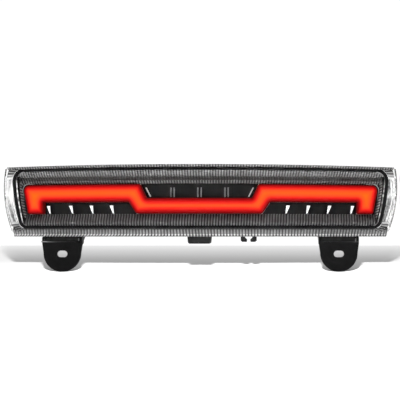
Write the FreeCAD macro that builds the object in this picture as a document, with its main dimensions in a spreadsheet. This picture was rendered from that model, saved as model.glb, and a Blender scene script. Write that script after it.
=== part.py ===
import FreeCAD, Part
import Sketcher
import math
import os
from FreeCAD import Vector, Rotation, Placement

# Third brake light (high-mount stop lamp).
# Frame: +X right seen from the front, +Z up, the lens faces -Y.
# Origin: midpoint between the two bracket slots, on the brackets' seating face (y = 0).
# Most of the lamp follows a bow: a vertical cylinder of radius bow_rad whose axis
# stands at y = bow_axis. An "offset" is a distance back from the lens' front face.

doc = FreeCAD.newDocument("third_brake_light")

# --------------------------------------------------------------- parameters
TABLE = [
    # bow
    ("bow_rad", 668.0), ("bow_front", 40.0),
    # outer lens
    ("lens_top_hw", 208.2), ("lens_bot_hw", 197.6), ("lens_top_z", 92.3), ("lens_bot_z", 18.5),
    ("lens_side_rad", 120.0), ("lens_arch_rad", 19500.0), ("lens_wall", 2.6), ("lens_depth", 16.0),
    ("lens_top_corner", 5.0), ("lens_bot_corner", 3.5), ("lens_edge_round", 2.4),
    # loop: bonding bead and housing rim (centreline)
    ("loop_top_hw", 198.9), ("loop_bot_hw", 189.0), ("loop_top_z", 88.9), ("loop_bot_z", 28.4),
    ("loop_side_rad", 190.0), ("loop_arch_rad", 28200.0), ("loop_top_corner", 11.0), ("loop_bot_corner", 8.0),
    ("bead_half", 1.5), ("bead_front", 2.6), ("bead_back", 4.6),
    # housing
    ("wall_half", 1.2), ("house_back", 36.0), ("house_back_in", 33.6),
    # bezel
    ("bezel_gap", 1.7), ("bezel_front", 5.2), ("plate_front", 16.0), ("plate_back", 18.0),
    ("bezel_top_z", 85.8), ("bezel_bot_z", 30.7), ("plate_top_z", 73.6), ("plate_bot_z", 41.0),
    ("bezel_rim", 1.9), ("bezel_slope", 1.4),
    # light bar outline
    ("bar_top_z", 73.0), ("bar_mid_top_z", 58.7), ("bar_under_z", 54.8), ("bar_bot_z", 42.5),
    ("bar_out_top", 189.8), ("bar_out_bot", 184.0), ("leg_in", 166.2),
    ("step_low_out", 73.8), ("step_low_in", 65.5), ("step_up_out", 61.6), ("step_up_in", 55.0),
    ("bar_corner_top", 5.0), ("bar_corner_bot", 2.0), ("bar_front", 7.0), ("bar_wall", 2.0),
    ("bar_flange", 1.0), ("bar_flange_back", 20.0), ("bar_clear", 0.3), ("bar_edge_round", 1.6),
    # tray and LED board
    ("tray_back", 27.6), ("tray_floor", 1.6), ("tray_wall", 1.4), ("led_hole_rad", 2.7),
    ("board_thick", 1.2), ("led_wide", 3.5), ("led_tall", 2.8), ("led_deep", 1.6),
    ("resistor_wide", 3.2), ("resistor_tall", 1.6), ("resistor_deep", 0.8),
    # fin strips
    ("fin_front", 13.5), ("strip_back", 19.4), ("fin_clear", 0.2),
    # screws from behind
    ("post_rad", 3.5), ("post_hole", 1.7), ("post_front", 21.0), ("boss_rad", 3.2),
    ("boss_hole", 1.55), ("bezel_screw_rad", 1.5), ("bezel_screw_len", 21.0),
    ("bezel_head_rad", 2.9), ("bezel_head_tall", 2.0), ("seal_thick", 0.8), ("seal_rad", 3.4),
    ("tab_half", 3.5), ("tab_thick", 1.8), ("tray_screw_rad", 1.1), ("tray_screw_len", 7.5),
    ("tray_head_rad", 2.1), ("tray_head_tall", 1.5), ("tray_boss_rad", 2.6), ("tray_boss_hole", 1.15),
    # driver electronics
    ("driver_long", 62.0), ("driver_deep", 12.0), ("driver_thick", 1.6), ("driver_z", 32.4),
    ("driver_x", -51.0), ("driver_y", -8.2),
    ("cap_rad", 3.0), ("cap_tall", 5.6), ("standoff_rad", 2.4),
    ("driver_screw_rad", 1.1), ("driver_screw_len", 4.6), ("driver_head_rad", 2.0), ("driver_head_tall", 1.4),
    ("wire_rad", 0.7), ("wire_bend", 2.2),
    # connector
    ("conn_top_wide", 26.0), ("conn_bot_wide", 23.5), ("conn_front", 25.0), ("conn_deep", 17.0),
    ("conn_bot_z", 11.1), ("conn_flange_z", 24.2), ("conn_flange_thick", 2.0),
    ("conn_flange_long", 44.0), ("conn_wall", 2.0), ("conn_floor_z", 25.4), ("conn_neck_wide", 18.0),
    ("conn_neck_deep", 11.0), ("conn_neck_z", 31.6), ("pin_wide", 1.5), ("pin_thick", 0.8),
    ("pin_low_z", 14.5), ("pin_high_z", 34.2), ("pin_pitch", 6.0), ("conn_screw_x", 17.6),
    ("conn_screw_rad", 1.4), ("conn_screw_len", 7.5), ("conn_head_rad", 2.6), ("conn_head_tall", 1.8),
    # brackets
    ("slot_spacing", 295.0), ("ear_half", 21.45), ("ear_waist", 19.9), ("ear_end_rad", 19.9),
    ("ear_taper_z", 11.5), ("ear_round_z", 0.9), ("plate", 3.0), ("flange_thick", 2.4),
    ("flange_top", 20.5), ("flange_back", 13.5), ("slot_half", 3.5), ("slot_long", 11.0),
    ("seat_top", 9.8), ("pocket_z", 13.0), ("pocket_back", 3.0), ("pocket_wall", 2.4),
    ("wall_top", 18.2), ("wall_thick", 2.2), ("flange_hole", 2.3), ("bracket_screw_x", 12.0), ("bracket_screw_y", 7.5),
    ("bracket_screw_rad", 1.95), ("bracket_screw_len", 9.5), ("bracket_head_rad", 3.6),
    ("bracket_head_tall", 2.4), ("insert_rad", 2.9), ("insert_hole", 2.0), ("insert_len", 7.0),
    ("bracket_boss_rad", 4.6), ("bracket_boss_top", 33.0),
    # harness clip
    ("clip_x", 51.4), ("clip_wide", 16.8), ("clip_deep", 9.0), ("clip_bot_z", 13.0),
    ("clip_axis_z", 19.6), ("clip_bore", 4.1), ("clip_mouth", 3.5), ("clip_front", 19.0),
    ("clip_peg_rad", 2.0), ("clip_peg_top", 31.0),
    # breather
    ("vent_x", 110.0), ("vent_z", 60.0), ("vent_hole", 3.0), ("vent_rad", 7.5), ("vent_tall", 3.6),
    ("membrane_rad", 5.0), ("membrane_thick", 0.4),
]

sheet = doc.addObject("Spreadsheet::Sheet", "Params")
VALUES = {}
for row, (key, number) in enumerate(TABLE, start=1):
    sheet.set("A%d" % row, key)
    sheet.set("B%d" % row, "%g" % number)
    sheet.setAlias("B%d" % row, key)
    VALUES[key] = number
doc.recompute()


class Q:
    """A number that carries the spreadsheet expression it came from."""

    def __init__(self, v, t=None):
        self.v = float(v)
        self.t = t

    def text(self):
        return self.t if self.t is not None else "%.6f" % self.v

    def _mix(self, other, sign, v, flip=False):
        o = q(other)
        if self.t is None and o.t is None:
            return Q(v)
        a, b = (o, self) if flip else (self, o)
        return Q(v, "(%s %s %s)" % (a.text(), sign, b.text()))

    def __add__(self, o):
        return self._mix(o, "+", self.v + q(o).v)

    def __radd__(self, o):
        return self._mix(o, "+", self.v + q(o).v, True)

    def __sub__(self, o):
        return self._mix(o, "-", self.v - q(o).v)

    def __rsub__(self, o):
        return self._mix(o, "-", q(o).v - self.v, True)

    def __mul__(self, o):
        return self._mix(o, "*", self.v * q(o).v)

    def __rmul__(self, o):
        return self._mix(o, "*", self.v * q(o).v, True)

    def __truediv__(self, o):
        return self._mix(o, "/", self.v / q(o).v)

    def __neg__(self):
        return Q(-self.v) if self.t is None else Q(-self.v, "(0 - %s)" % self.t)


def q(x):
    return x if isinstance(x, Q) else Q(x)


def P(key):
    return Q(VALUES[key], "Params." + key)


def bind(obj, prop, value):
    value = q(value)
    if value.t is not None:
        obj.setExpression(prop, value.t)


BOW_AXIS = P("bow_rad") - P("bow_front")


def bow_y(x, off):
    r = VALUES["bow_rad"] - off
    return (VALUES["bow_rad"] - VALUES["bow_front"]) - math.sqrt(r * r - x * x)


def radial(x, off, z, tip=None):
    """Placement at x on the offset surface, local +Y pointing to the back of the lamp."""
    r = VALUES["bow_rad"] - off
    turn = Rotation(Vector(0, 0, 1), math.degrees(math.asin(x / r)))
    if tip is not None:
        turn = turn.multiply(tip)
    return Placement(Vector(x, bow_y(x, off), z), turn)


TO_BACK = Rotation(Vector(1, 0, 0), -90)
TO_FRONT = Rotation(Vector(1, 0, 0), 90)


# ------------------------------------------------------------------ sketches
def bind_point(sk, geo, pos, x, y):
    x, y = q(x), q(y)
    for kind, val, axis in (("DistanceX", x, -2), ("DistanceY", y, -1)):
        if abs(val.v) < 1e-9 and val.t is None:
            sk.addConstraint(Sketcher.Constraint("PointOnObject", geo, pos, axis))
            continue
        i = sk.addConstraint(Sketcher.Constraint(kind, -1, 1, geo, pos, val.v))
        if val.t is not None:
            sk.setExpression("Constraints[%d]" % i, val.t)


def add_loop(sk, pts, bound=True):
    """pts: (x, y) or (x, y, radius, side[, major]); the arc runs from that point to the next."""
    n = len(pts)
    first = sk.GeometryCount
    ends = []
    for i in range(n):
        a, b = pts[i], pts[(i + 1) % n]
        ax, ay, bx, by = q(a[0]).v, q(a[1]).v, q(b[0]).v, q(b[1]).v
        if len(a) > 2:
            r, side = q(a[2]).v, a[3]
            half = math.hypot(bx - ax, by - ay) / 2
            root = math.sqrt(max(r * r - half * half, 0.0))
            sag = r + root if len(a) > 4 and a[4] else r - root
            nx, ny = -(by - ay) / (2 * half), (bx - ax) / (2 * half)
            mx, my = (ax + bx) / 2 + nx * sag * side, (ay + by) / 2 + ny * sag * side
            g = sk.addGeometry(Part.Arc(Vector(ax, ay, 0), Vector(mx, my, 0), Vector(bx, by, 0)), False)
            s = sk.Geometry[g].StartPoint
            ends.append((1, 2) if math.hypot(s.x - ax, s.y - ay) < 1e-4 else (2, 1))
        else:
            sk.addGeometry(Part.LineSegment(Vector(ax, ay, 0), Vector(bx, by, 0)), False)
            ends.append((1, 2))
    if not bound:
        return
    for i in range(n):
        j = (i + 1) % n
        sk.addConstraint(Sketcher.Constraint("Coincident", first + i, ends[i][1], first + j, ends[j][0]))
    for i in range(n):
        bind_point(sk, first + i, ends[i][0], pts[i][0], pts[i][1])
    for i in range(n):
        if len(pts[i]) > 2:
            a, b = pts[i], pts[(i + 1) % n]
            half = math.hypot(q(b[0]).v - q(a[0]).v, q(b[1]).v - q(a[1]).v) / 2
            if abs(half - q(a[2]).v) < 1e-6:
                # half circle: its centre lies on the chord
                level = abs(q(b[1]).v - q(a[1]).v) < 1e-9
                val = q(a[1]) if level else q(a[0])
                if abs(val.v) < 1e-9:
                    sk.addConstraint(Sketcher.Constraint("PointOnObject", first + i, 3, -1 if level else -2))
                    continue
                k = sk.addConstraint(Sketcher.Constraint("DistanceY" if level else "DistanceX", -1, 1, first + i, 3,
                                                         val.v))
                if val.t is not None:
                    sk.setExpression("Constraints[%d]" % k, val.t)
                continue
            k = sk.addConstraint(Sketcher.Constraint("Radius", first + i, q(pts[i][2]).v))
            if q(pts[i][2]).t is not None:
                sk.setExpression("Constraints[%d]" % k, q(pts[i][2]).t)


def add_circle(sk, x, y, r):
    g = sk.addGeometry(Part.Circle(Vector(q(x).v, q(y).v, 0), Vector(0, 0, 1), q(r).v), False)
    bind_point(sk, g, 3, x, y)
    k = sk.addConstraint(Sketcher.Constraint("Radius", g, q(r).v))
    if q(r).t is not None:
        sk.setExpression("Constraints[%d]" % k, q(r).t)


def body(name):
    b = doc.addObject("PartDesign::Body", name)
    b.Label = name
    return b


def origin_of(b, role):
    for f in b.Origin.OriginFeatures:
        if f.Role == role:
            return f
    raise RuntimeError("no " + role)


def sketch(b, role, name, loops=(), circles=(), level=None):
    sk = b.newObject("Sketcher::SketchObject", name)
    sk.AttachmentSupport = [(origin_of(b, role), "")]
    sk.MapMode = "FlatFace"
    if level is not None:
        level = q(level)
        sk.AttachmentOffset = Placement(Vector(0, 0, level.v), Rotation())
        if level.t is not None:
            sk.setExpression("AttachmentOffset.Base.z", level.t)
    for loop in loops:
        add_loop(sk, loop)
    for c in circles:
        add_circle(sk, *c)
    return sk


def grow(b, kind, sk, name, length=None, both=False, flip=False, through=False):
    f = b.newObject("PartDesign::" + kind, name)
    f.Profile = sk
    if length is not None:
        f.Length = q(length).v
        bind(f, "Length", length)
    if through:
        f.Type = "ThroughAll"
    if both:
        f.SideType = "Symmetric"
    f.Reversed = flip
    sk.Visibility = False
    doc.recompute()
    return f


def volume_of(f):
    return f.Shape.Volume


def body_fillet(b, name, base, test, radius):
    doc.recompute()
    names = []
    for i, e in enumerate(base.Shape.Edges):
        if test(e):
            names.append("Edge%d" % (i + 1))
    if not names:
        raise RuntimeError("no edges for " + name)
    f = b.newObject("PartDesign::Fillet", name)
    f.Base = (base, names)
    f.Radius = q(radius).v
    bind(f, "Radius", radius)
    doc.recompute()
    return f


def along_y(x_test, z_test):
    def test(e):
        if len(e.Vertexes) != 2:
            return False
        a, c = e.Vertexes[0].Point, e.Vertexes[1].Point
        if abs(a.x - c.x) > 1e-3 or abs(a.z - c.z) > 1e-3 or abs(a.y - c.y) < 1:
            return False
        return x_test(a.x) and z_test(a.z)
    return test


# ------------------------------------------------------------ part primitives
def cylinder(name, rad, tall, place):
    c = doc.addObject("Part::Cylinder", name)
    c.Radius, c.Height = q(rad).v, q(tall).v
    bind(c, "Radius", rad)
    bind(c, "Height", tall)
    c.Placement = place
    return c


def box(name, lx, ly, lz, place):
    c = doc.addObject("Part::Box", name)
    for prop, val in (("Length", lx), ("Width", ly), ("Height", lz)):
        setattr(c, prop, q(val).v)
        bind(c, prop, val)
    c.Placement = place
    return c


def cut(name, base, tool):
    c = doc.addObject("Part::Cut", name)
    c.Base, c.Tool = base, tool
    return c


def common(name, base, tool):
    c = doc.addObject("Part::Common", name)
    c.Base, c.Tool = base, tool
    return c


def fuse(name, items):
    c = doc.addObject("Part::MultiFuse", name)
    c.Shapes = items
    c.Refine = True
    return c


def group(name, items):
    c = doc.addObject("Part::Compound", name)
    c.Links = items
    return c


def at(x, y, z, turn=None):
    return Placement(Vector(q(x).v, q(y).v, q(z).v), turn or Rotation())


def follow(obj, x=None, y=None, z=None):
    """Bind the position of an object to the sheet."""
    for axis, val in (("x", x), ("y", y), ("z", z)):
        if val is not None and q(val).t is not None:
            obj.setExpression("Placement.Base." + axis, q(val).t)
    return obj


# --------------------------------------------------- bowed slabs of an outline
_bow = {}


def bow_cylinder(off):
    off = q(off)
    key = "%.4f|%s" % (off.v, off.text())
    if key not in _bow:
        c = cylinder("bow_tool_%d" % (len(_bow) + 1), P("bow_rad") - off, 200,
                     Placement(Vector(0, BOW_AXIS.v, -50), Rotation(Vector(0, 0, 1), 90)))
        follow(c, y=BOW_AXIS)
        _bow[key] = c
    return _bow[key]


def slab(name, prism, front, back):
    a = common(name + "_front_face", prism, bow_cylinder(front))
    return cut(name + "_slab", a, bow_cylinder(back))


def miter(pts, d):
    """Shift every vertex so that each edge moves by d along its outward normal (clockwise loops)."""
    d = q(d)
    n = len(pts)
    num = [(q(p[0]).v, q(p[1]).v) for p in pts]
    area = sum(num[i][0] * num[(i + 1) % n][1] - num[(i + 1) % n][0] * num[i][1] for i in range(n))
    turn = 1.0 if area > 0 else -1.0
    out = []
    for i in range(n):
        p0, p1, p2 = num[i - 1], num[i], num[(i + 1) % n]

        def normal(a, b):
            dx, dy = b[0] - a[0], b[1] - a[1]
            k = math.hypot(dx, dy)
            return (turn * dy / k, -turn * dx / k)
        n1, n2 = normal(p0, p1), normal(p1, p2)
        k = 1.0 + n1[0] * n2[0] + n1[1] * n2[1]
        mx, mz = (n1[0] + n2[0]) / k, (n1[1] + n2[1]) / k
        new = [q(pts[i][0]) + d * round(mx, 6), q(pts[i][1]) + d * round(mz, 6)]
        if len(pts[i]) > 2:
            new.append(q(pts[i][2]) + d)
            new.extend(pts[i][3:])
        out.append(tuple(new))
    return out


def prism(name, pts, level=120.0):
    b = body(name)
    sk = sketch(b, "XZ_Plane", name + "_outline", [pts])
    p = grow(b, "Pad", sk, name + "_pad", level, both=True)
    return b, p


# outlines (x, z), counter-clockwise seen from the front
LENS = [(-P("lens_bot_hw"), P("lens_bot_z")), (P("lens_bot_hw"), P("lens_bot_z"), P("lens_side_rad"), -1),
        (P("lens_top_hw"), P("lens_top_z"), P("lens_arch_rad"), -1),
        (-P("lens_top_hw"), P("lens_top_z"), P("lens_side_rad"), -1)]
LOOP = [(-P("loop_bot_hw"), P("loop_bot_z")), (P("loop_bot_hw"), P("loop_bot_z"), P("loop_side_rad"), -1),
        (P("loop_top_hw"), P("loop_top_z"), P("loop_arch_rad"), -1),
        (-P("loop_top_hw"), P("loop_top_z"), P("loop_side_rad"), -1)]
BAR = [(-P("bar_out_top"), P("bar_top_z")), (-P("bar_out_bot"), P("bar_bot_z")), (-P("leg_in"), P("bar_bot_z")),
       (-P("leg_in"), P("bar_under_z")), (-P("step_low_out"), P("bar_under_z")), (-P("step_low_in"), P("bar_bot_z")),
       (P("step_low_in"), P("bar_bot_z")), (P("step_low_out"), P("bar_under_z")), (P("leg_in"), P("bar_under_z")),
       (P("leg_in"), P("bar_bot_z")), (P("bar_out_bot"), P("bar_bot_z")), (P("bar_out_top"), P("bar_top_z")),
       (P("step_up_out"), P("bar_top_z")), (P("step_up_in"), P("bar_mid_top_z")),
       (-P("step_up_in"), P("bar_mid_top_z")), (-P("step_up_out"), P("bar_top_z"))]


def rounded_loop_prism(name, pts, r_top, r_bot, z_split=60.0):
    b, p = prism(name, pts)
    f = body_fillet(b, name + "_top_corners", p, along_y(lambda x: abs(x) > 150, lambda z: z > z_split), r_top)
    body_fillet(b, name + "_bottom_corners", f, along_y(lambda x: abs(x) > 150, lambda z: z < z_split), r_bot)
    return b


def bar_prism(name, d, r_shift=0.0):
    b, p = prism(name, miter(BAR, d))
    top = P("bar_corner_top") + r_shift
    low = P("bar_corner_bot") + r_shift
    lo, hi = VALUES["bar_bot_z"] + 5, VALUES["bar_top_z"] - 5
    f = body_fillet(b, name + "_top_corners", p, along_y(lambda x: abs(x) > 150, lambda z: z > hi), top)
    body_fillet(b, name + "_low_corners", f, along_y(lambda x: abs(x) > 170, lambda z: z < lo), low)
    return b


# ================================================================ outer lens
lens_out = rounded_loop_prism("lens_outer_prism", LENS, P("lens_top_corner"), P("lens_bot_corner"))
lens_in = rounded_loop_prism("lens_inner_prism", miter(LENS, -P("lens_wall")),
                             P("lens_top_corner") - 1.4, P("lens_bot_corner") - 1.4)
lens_plug = slab("lens_plug", lens_out, 0.0, P("lens_depth"))
doc.recompute()
lens_edges = []
for i, e in enumerate(lens_plug.Shape.Edges):
    ok = True
    for k in range(5):
        t = e.FirstParameter + (e.LastParameter - e.FirstParameter) * k / 4.0
        p = e.valueAt(t)
        if abs(math.hypot(p.x, p.y - BOW_AXIS.v) - VALUES["bow_rad"]) > 0.01:
            ok = False
    if ok:
        lens_edges.append(i + 1)
lens_round = doc.addObject("Part::Fillet", "lens_front_round")
lens_round.Base = lens_plug
lens_round.Edges = [(i, VALUES["lens_edge_round"], VALUES["lens_edge_round"]) for i in lens_edges]
doc.recompute()
lens_base = lens_round if (not lens_round.Shape.isNull() and lens_round.Shape.isValid()) else lens_plug
print("lens front round used:", lens_base is lens_round, len(lens_edges))
lens_void = slab("lens_void", lens_in, P("lens_wall"), P("lens_depth") + 4.0)
outer_lens = cut("outer_lens", lens_base, lens_void)

# ===================================================== bonding bead (the loop)
bead_out = rounded_loop_prism("bead_outer_prism", miter(LOOP, P("bead_half")),
                              P("loop_top_corner") + P("bead_half"), P("loop_bot_corner") + P("bead_half"))
bead_in = rounded_loop_prism("bead_inner_prism", miter(LOOP, -P("bead_half")),
                             P("loop_top_corner") - P("bead_half"), P("loop_bot_corner") - P("bead_half"))
bead_plug = slab("bead_plug", bead_out, P("bead_front"), P("bead_back"))
lens_seal = cut("lens_seal", bead_plug, bead_in)

# =============================================================== rear housing
house_out = rounded_loop_prism("housing_outer_prism", miter(LOOP, P("wall_half")),
                               P("loop_top_corner") + P("wall_half"), P("loop_bot_corner") + P("wall_half"))
house_in = rounded_loop_prism("housing_inner_prism", miter(LOOP, -P("wall_half")),
                              P("loop_top_corner") - P("wall_half"), P("loop_bot_corner") - P("wall_half"))
house_plug = slab("housing_plug", house_out, P("bead_back"), P("house_back"))
house_void = slab("housing_void", house_in, 2.0, P("house_back_in"))
house_shell = cut("housing_shell", house_plug, house_void)

POSTS = [(-150.0, 79.5), (-50.0, 79.5), (50.0, 79.5), (150.0, 79.5), (-110.0, 35.0), (110.0, 35.0)]
TABS = [(-100.0, 78.2), (100.0, 78.2), (-172.6, 37.0), (172.6, 37.0)]
house_add, house_take = [house_shell], []
for k, (x, z) in enumerate(POSTS, start=1):
    house_add.append(cylinder("post_%d" % k, P("post_rad"), P("house_back_in") + 0.8 - P("post_front"),
                              radial(x, VALUES["post_front"], z, TO_BACK)))
    house_take.append(cylinder("post_hole_%d" % k, P("post_hole"), 30.0, radial(x, 12.0, z, TO_BACK)))
# bracket bosses with blind holes for the brass inserts
for side in (-1, 1):
    for dx in (-1, 1):
        x = side * (P("slot_spacing") / 2) + dx * P("bracket_screw_x")
        c = cylinder("bracket_boss", P("bracket_boss_rad"), P("bracket_boss_top") - P("flange_top"),
                     at(x, P("bracket_screw_y"), P("flange_top")))
        house_add.append(follow(c, x=x, y=P("bracket_screw_y"), z=P("flange_top")))
        c = cylinder("insert_hole", P("insert_rad"), P("insert_len") + 3.0,
                     at(x, P("bracket_screw_y"), P("flange_top")))
        house_take.append(follow(c, x=x, y=P("bracket_screw_y"), z=P("flange_top")))
# connector seat: a pad under the floor, its opening and two screw bosses
pad_front = -(P("conn_front") + 1.0)
pad_box = box("connector_pad", P("conn_flange_long") + 2.0, P("conn_deep") + 2.0, 2.4,
              at(-(P("conn_flange_long") / 2 + 1.0), pad_front, P("conn_flange_z") + P("conn_flange_thick") + 0.8))
follow(pad_box, x=-(P("conn_flange_long") / 2 + 1.0), y=pad_front, z=P("conn_flange_z") + P("conn_flange_thick") + 0.8)
house_add.append(pad_box)
neck_y = -P("conn_front") + P("conn_deep") / 2
opening = box("connector_opening", P("conn_neck_wide") + 0.6, P("conn_neck_deep") + 0.6, 8.0,
              at(-(P("conn_neck_wide") / 2 + 0.3), neck_y - P("conn_neck_deep") / 2 - 0.3, 24.0))
follow(opening, x=-(P("conn_neck_wide") / 2 + 0.3), y=neck_y - P("conn_neck_deep") / 2 - 0.3)
house_take.append(opening)
for s in (-1, 1):
    c = cylinder("connector_boss", 3.2, 5.6, at(s * VALUES["conn_screw_x"], neck_y.v, 28.0))
    house_add.append(follow(c, x=s * P("conn_screw_x"), y=neck_y))
    c = cylinder("connector_boss_hole", P("conn_screw_rad") + 0.05, 5.6, at(s * VALUES["conn_screw_x"], neck_y.v, 26.9))
    house_take.append(follow(c, x=s * P("conn_screw_x"), y=neck_y))
# clip peg socket
clip_y = -P("clip_front") + P("clip_deep") / 2
c = cylinder("clip_boss", 3.8, 4.6, at(P("clip_x"), clip_y, 28.0))
house_add.append(follow(c, x=P("clip_x"), y=clip_y))
c = cylinder("clip_socket", P("clip_peg_rad") + 0.05, P("clip_peg_top") - 26.0 + 0.3, at(P("clip_x"), clip_y, 26.0))
house_take.append(follow(c, x=P("clip_x"), y=clip_y))
# driver board standoffs
driver_mid = P("driver_y") - P("driver_deep") / 2
STAND = [VALUES["driver_x"] - 26.5, VALUES["driver_x"] + 26.5]
for x in STAND:
    c = cylinder("driver_standoff", P("standoff_rad"), P("driver_z") - 28.8, at(x, driver_mid, 28.8))
    house_add.append(follow(c, y=driver_mid))
    c = cylinder("driver_standoff_hole", P("driver_screw_rad") + 0.05, 4.0, at(x, driver_mid, P("driver_z") - 3.6))
    house_take.append(follow(c, y=driver_mid, z=P("driver_z") - 3.6))
# breather hole
house_take.append(cylinder("breather_hole", P("vent_hole"), 8.0,
                           radial(VALUES["vent_x"], 31.0, VALUES["vent_z"], TO_BACK)))
house_solid = fuse("housing_with_bosses", house_add)
house_tools = fuse("housing_holes", house_take)
rear_housing = cut("rear_housing", house_solid, house_tools)

# ================================================================ inner bezel
bz = body("bezel_channel")
y_of = lambda off: q(off) - P("bow_front")
prof = [(y_of(P("bezel_front")), P("bezel_top_z")),
        (y_of(P("bezel_front")), P("bezel_top_z") - P("bezel_rim")),
        (y_of(P("plate_front")), P("plate_top_z")),
        (y_of(P("plate_front")), P("plate_bot_z")),
        (y_of(P("bezel_front")), P("bezel_bot_z") + P("bezel_rim")),
        (y_of(P("bezel_front")), P("bezel_bot_z")),
        (y_of(P("bezel_front") + P("bezel_slope")), P("bezel_bot_z")),
        (y_of(P("plate_back")), P("plate_bot_z") - 1.2),
        (y_of(P("plate_back")), P("plate_top_z") + 1.2),
        (y_of(P("bezel_front") + P("bezel_slope")), P("bezel_top_z"))]
bz_sk = bz.newObject("Sketcher::SketchObject", "bezel_section")
bz_sk.AttachmentSupport = [(origin_of(bz, "YZ_Plane"), "")]
bz_sk.MapMode = "FlatFace"
add_loop(bz_sk, prof)
# turning axis: the vertical line through the bow's centre
ax = bz_sk.addGeometry(Part.LineSegment(Vector(BOW_AXIS.v, 0, 0), Vector(BOW_AXIS.v, 50, 0)), True)
bind_point(bz_sk, ax, 1, BOW_AXIS, 0)
bind_point(bz_sk, ax, 2, BOW_AXIS, 50)
rev = bz.newObject("PartDesign::Revolution", "bezel_turn")
rev.Profile = bz_sk
rev.ReferenceAxis = (bz_sk, ["Axis0"])
rev.Angle = 36.0
rev.Midplane = True
doc.recompute()
print("bezel turn", rev.State, rev.Shape.BoundBox)
bezel_prism = rounded_loop_prism("bezel_outline_prism", miter(LOOP, -(P("wall_half") + P("bezel_gap") - 1.2)),
                                 P("loop_top_corner") - 1.7, P("loop_bot_corner") - 1.7)
bezel_core = rounded_loop_prism("bezel_core_prism", miter(LOOP, -(P("wall_half") + P("bezel_gap") + 0.8)),
                                P("loop_top_corner") - 3.7, P("loop_bot_corner") - 3.7)
ring_plug = slab("bezel_ring_plug", bezel_prism, P("bezel_front"), P("plate_back"))
ring = cut("bezel_end_ring", ring_plug, bezel_core)
# keep only the two ends of the ring, the channel makes the long walls
end_keep = []
for s in (-1, 1):
    end_keep.append(box("bezel_end_keep", 40.0, 60.0, 80.0, at(172.0 if s > 0 else -212.0, -40.0, 20.0)))
ring_ends = common("bezel_end_walls", ring, fuse("bezel_end_zone", end_keep))
channel = common("bezel_channel_trim", bz, bezel_prism)
bezel_add = [channel, ring_ends]
bezel_take = []
for k, (x, z) in enumerate(POSTS, start=1):
    start = 13.8 if z > 60 else 13.2
    bezel_add.append(cylinder("bezel_boss_%d" % k, P("boss_rad"), P("post_front") - start, radial(x, start, z, TO_BACK)))
    bezel_take.append(cylinder("bezel_boss_hole_%d" % k, P("boss_hole"), P("post_front") - 14.2,
                               radial(x, 14.6, z, TO_BACK)))
for k, (x, z) in enumerate(TABS, start=1):
    start = 14.2 if z > 60 else 13.6
    bezel_add.append(cylinder("tray_boss_%d" % k, P("tray_boss_rad"), P("bar_flange_back") - start,
                              radial(x, start, z, TO_BACK)))
    bezel_take.append(cylinder("tray_boss_hole_%d" % k, P("tray_boss_hole"), P("bar_flange_back") - 14.4,
                               radial(x, 14.8, z, TO_BACK)))
bar_window = bar_prism("bar_window_prism", P("bar_clear"))
bezel_take.append(slab("bar_window", bar_window, 12.0, 19.5))

# fins: (outer top x, z top, inner top x, tip x, z tip), seen on the right side
SIDE_FINS = [(163.7, 160.2, 160.0), (138.8, 135.3, 134.6), (116.2, 112.7, 112.5), (94.4, 90.9, 90.5)]
FIN_TOP, FIN_TIP = 51.0, 42.9


def side_fin_loops(s, d):
    loops = []
    for a, b_, c_ in SIDE_FINS:
        pts = [(s * a, FIN_TOP), (s * (c_ + 0.45), FIN_TIP), (s * (c_ - 0.45), FIN_TIP), (s * b_, FIN_TOP)]
        loops.append([(p[0], p[1]) for p in miter(pts, d)])
    return loops


def centre_fin_loops(d):
    loops = []
    for s in (-1, 1):
        pts = [(s * 56.6, 69.7), (s * 51.9, 60.4), (s * 50.9, 60.4), (s * 55.6, 69.7)]
        loops.append([(p[0], p[1]) for p in miter(pts, d)])
    for x in (-29.9, -26.5, -1.75, 1.75, 26.5, 29.9):
        pts = [(x - 0.5, 59.9), (x - 0.5, 69.7), (x + 0.5, 69.7), (x + 0.5, 59.9)]
        loops.append([(p[0], p[1]) for p in miter(pts, d)])
    return loops


def free_extrusion(name, loops=(), circles=(), length=80.0):
    sk = doc.addObject("Sketcher::SketchObject", name + "_sketch")
    sk.Placement = Placement(Vector(0, 0, 0), Rotation(Vector(1, 0, 0), 90))
    for loop in loops:
        add_loop(sk, loop)
    for c in circles:
        add_circle(sk, *c)
    e = doc.addObject("Part::Extrusion", name)
    e.Base = sk
    e.DirMode = "Normal"
    e.LengthFwd = length / 2
    e.LengthRev = length / 2
    e.Solid = True
    sk.Visibility = False
    return e


fin_slots = []
for label, loops in (("left", side_fin_loops(-1, P("fin_clear"))), ("right", side_fin_loops(1, P("fin_clear"))),
                     ("centre", centre_fin_loops(P("fin_clear")))):
    pr = free_extrusion(label + "_fin_slot_prisms", loops)
    fin_slots.append(slab(label + "_fin_slots", pr, 14.0, 19.0))
bezel_solid = fuse("bezel_with_bosses", bezel_add)
bezel_tools = fuse("bezel_holes", bezel_take)
bezel_open = cut("bezel_opened", bezel_solid, bezel_tools)
bezel_slots = fuse("bezel_slots", fin_slots)
inner_bezel = cut("inner_bezel", bezel_open, bezel_slots)

# ================================================================ fin strips
CARRY_LEG = P("leg_in") - P("bar_flange") - 0.25
CARRY_TOP = P("bar_under_z") - P("bar_flange") - 0.3


def side_strip(name, s):
    fins = slab(name + "_fins", free_extrusion(name + "_fin_prisms", side_fin_loops(s, 0.0)), P("fin_front"),
                P("plate_back") + 0.3)
    pts = [(s * (P("step_low_out") + 14.0), P("plate_bot_z") + 0.2), (s * CARRY_LEG, P("plate_bot_z") + 0.2),
           (s * CARRY_LEG, CARRY_TOP), (s * (P("step_low_out") + 14.0), CARRY_TOP)]
    back_prism, _ = prism(name + "_carrier_prism", pts)
    back = slab(name + "_carrier", back_prism, P("plate_back"), P("strip_back"))
    return fuse(name, [fins, back])


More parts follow.
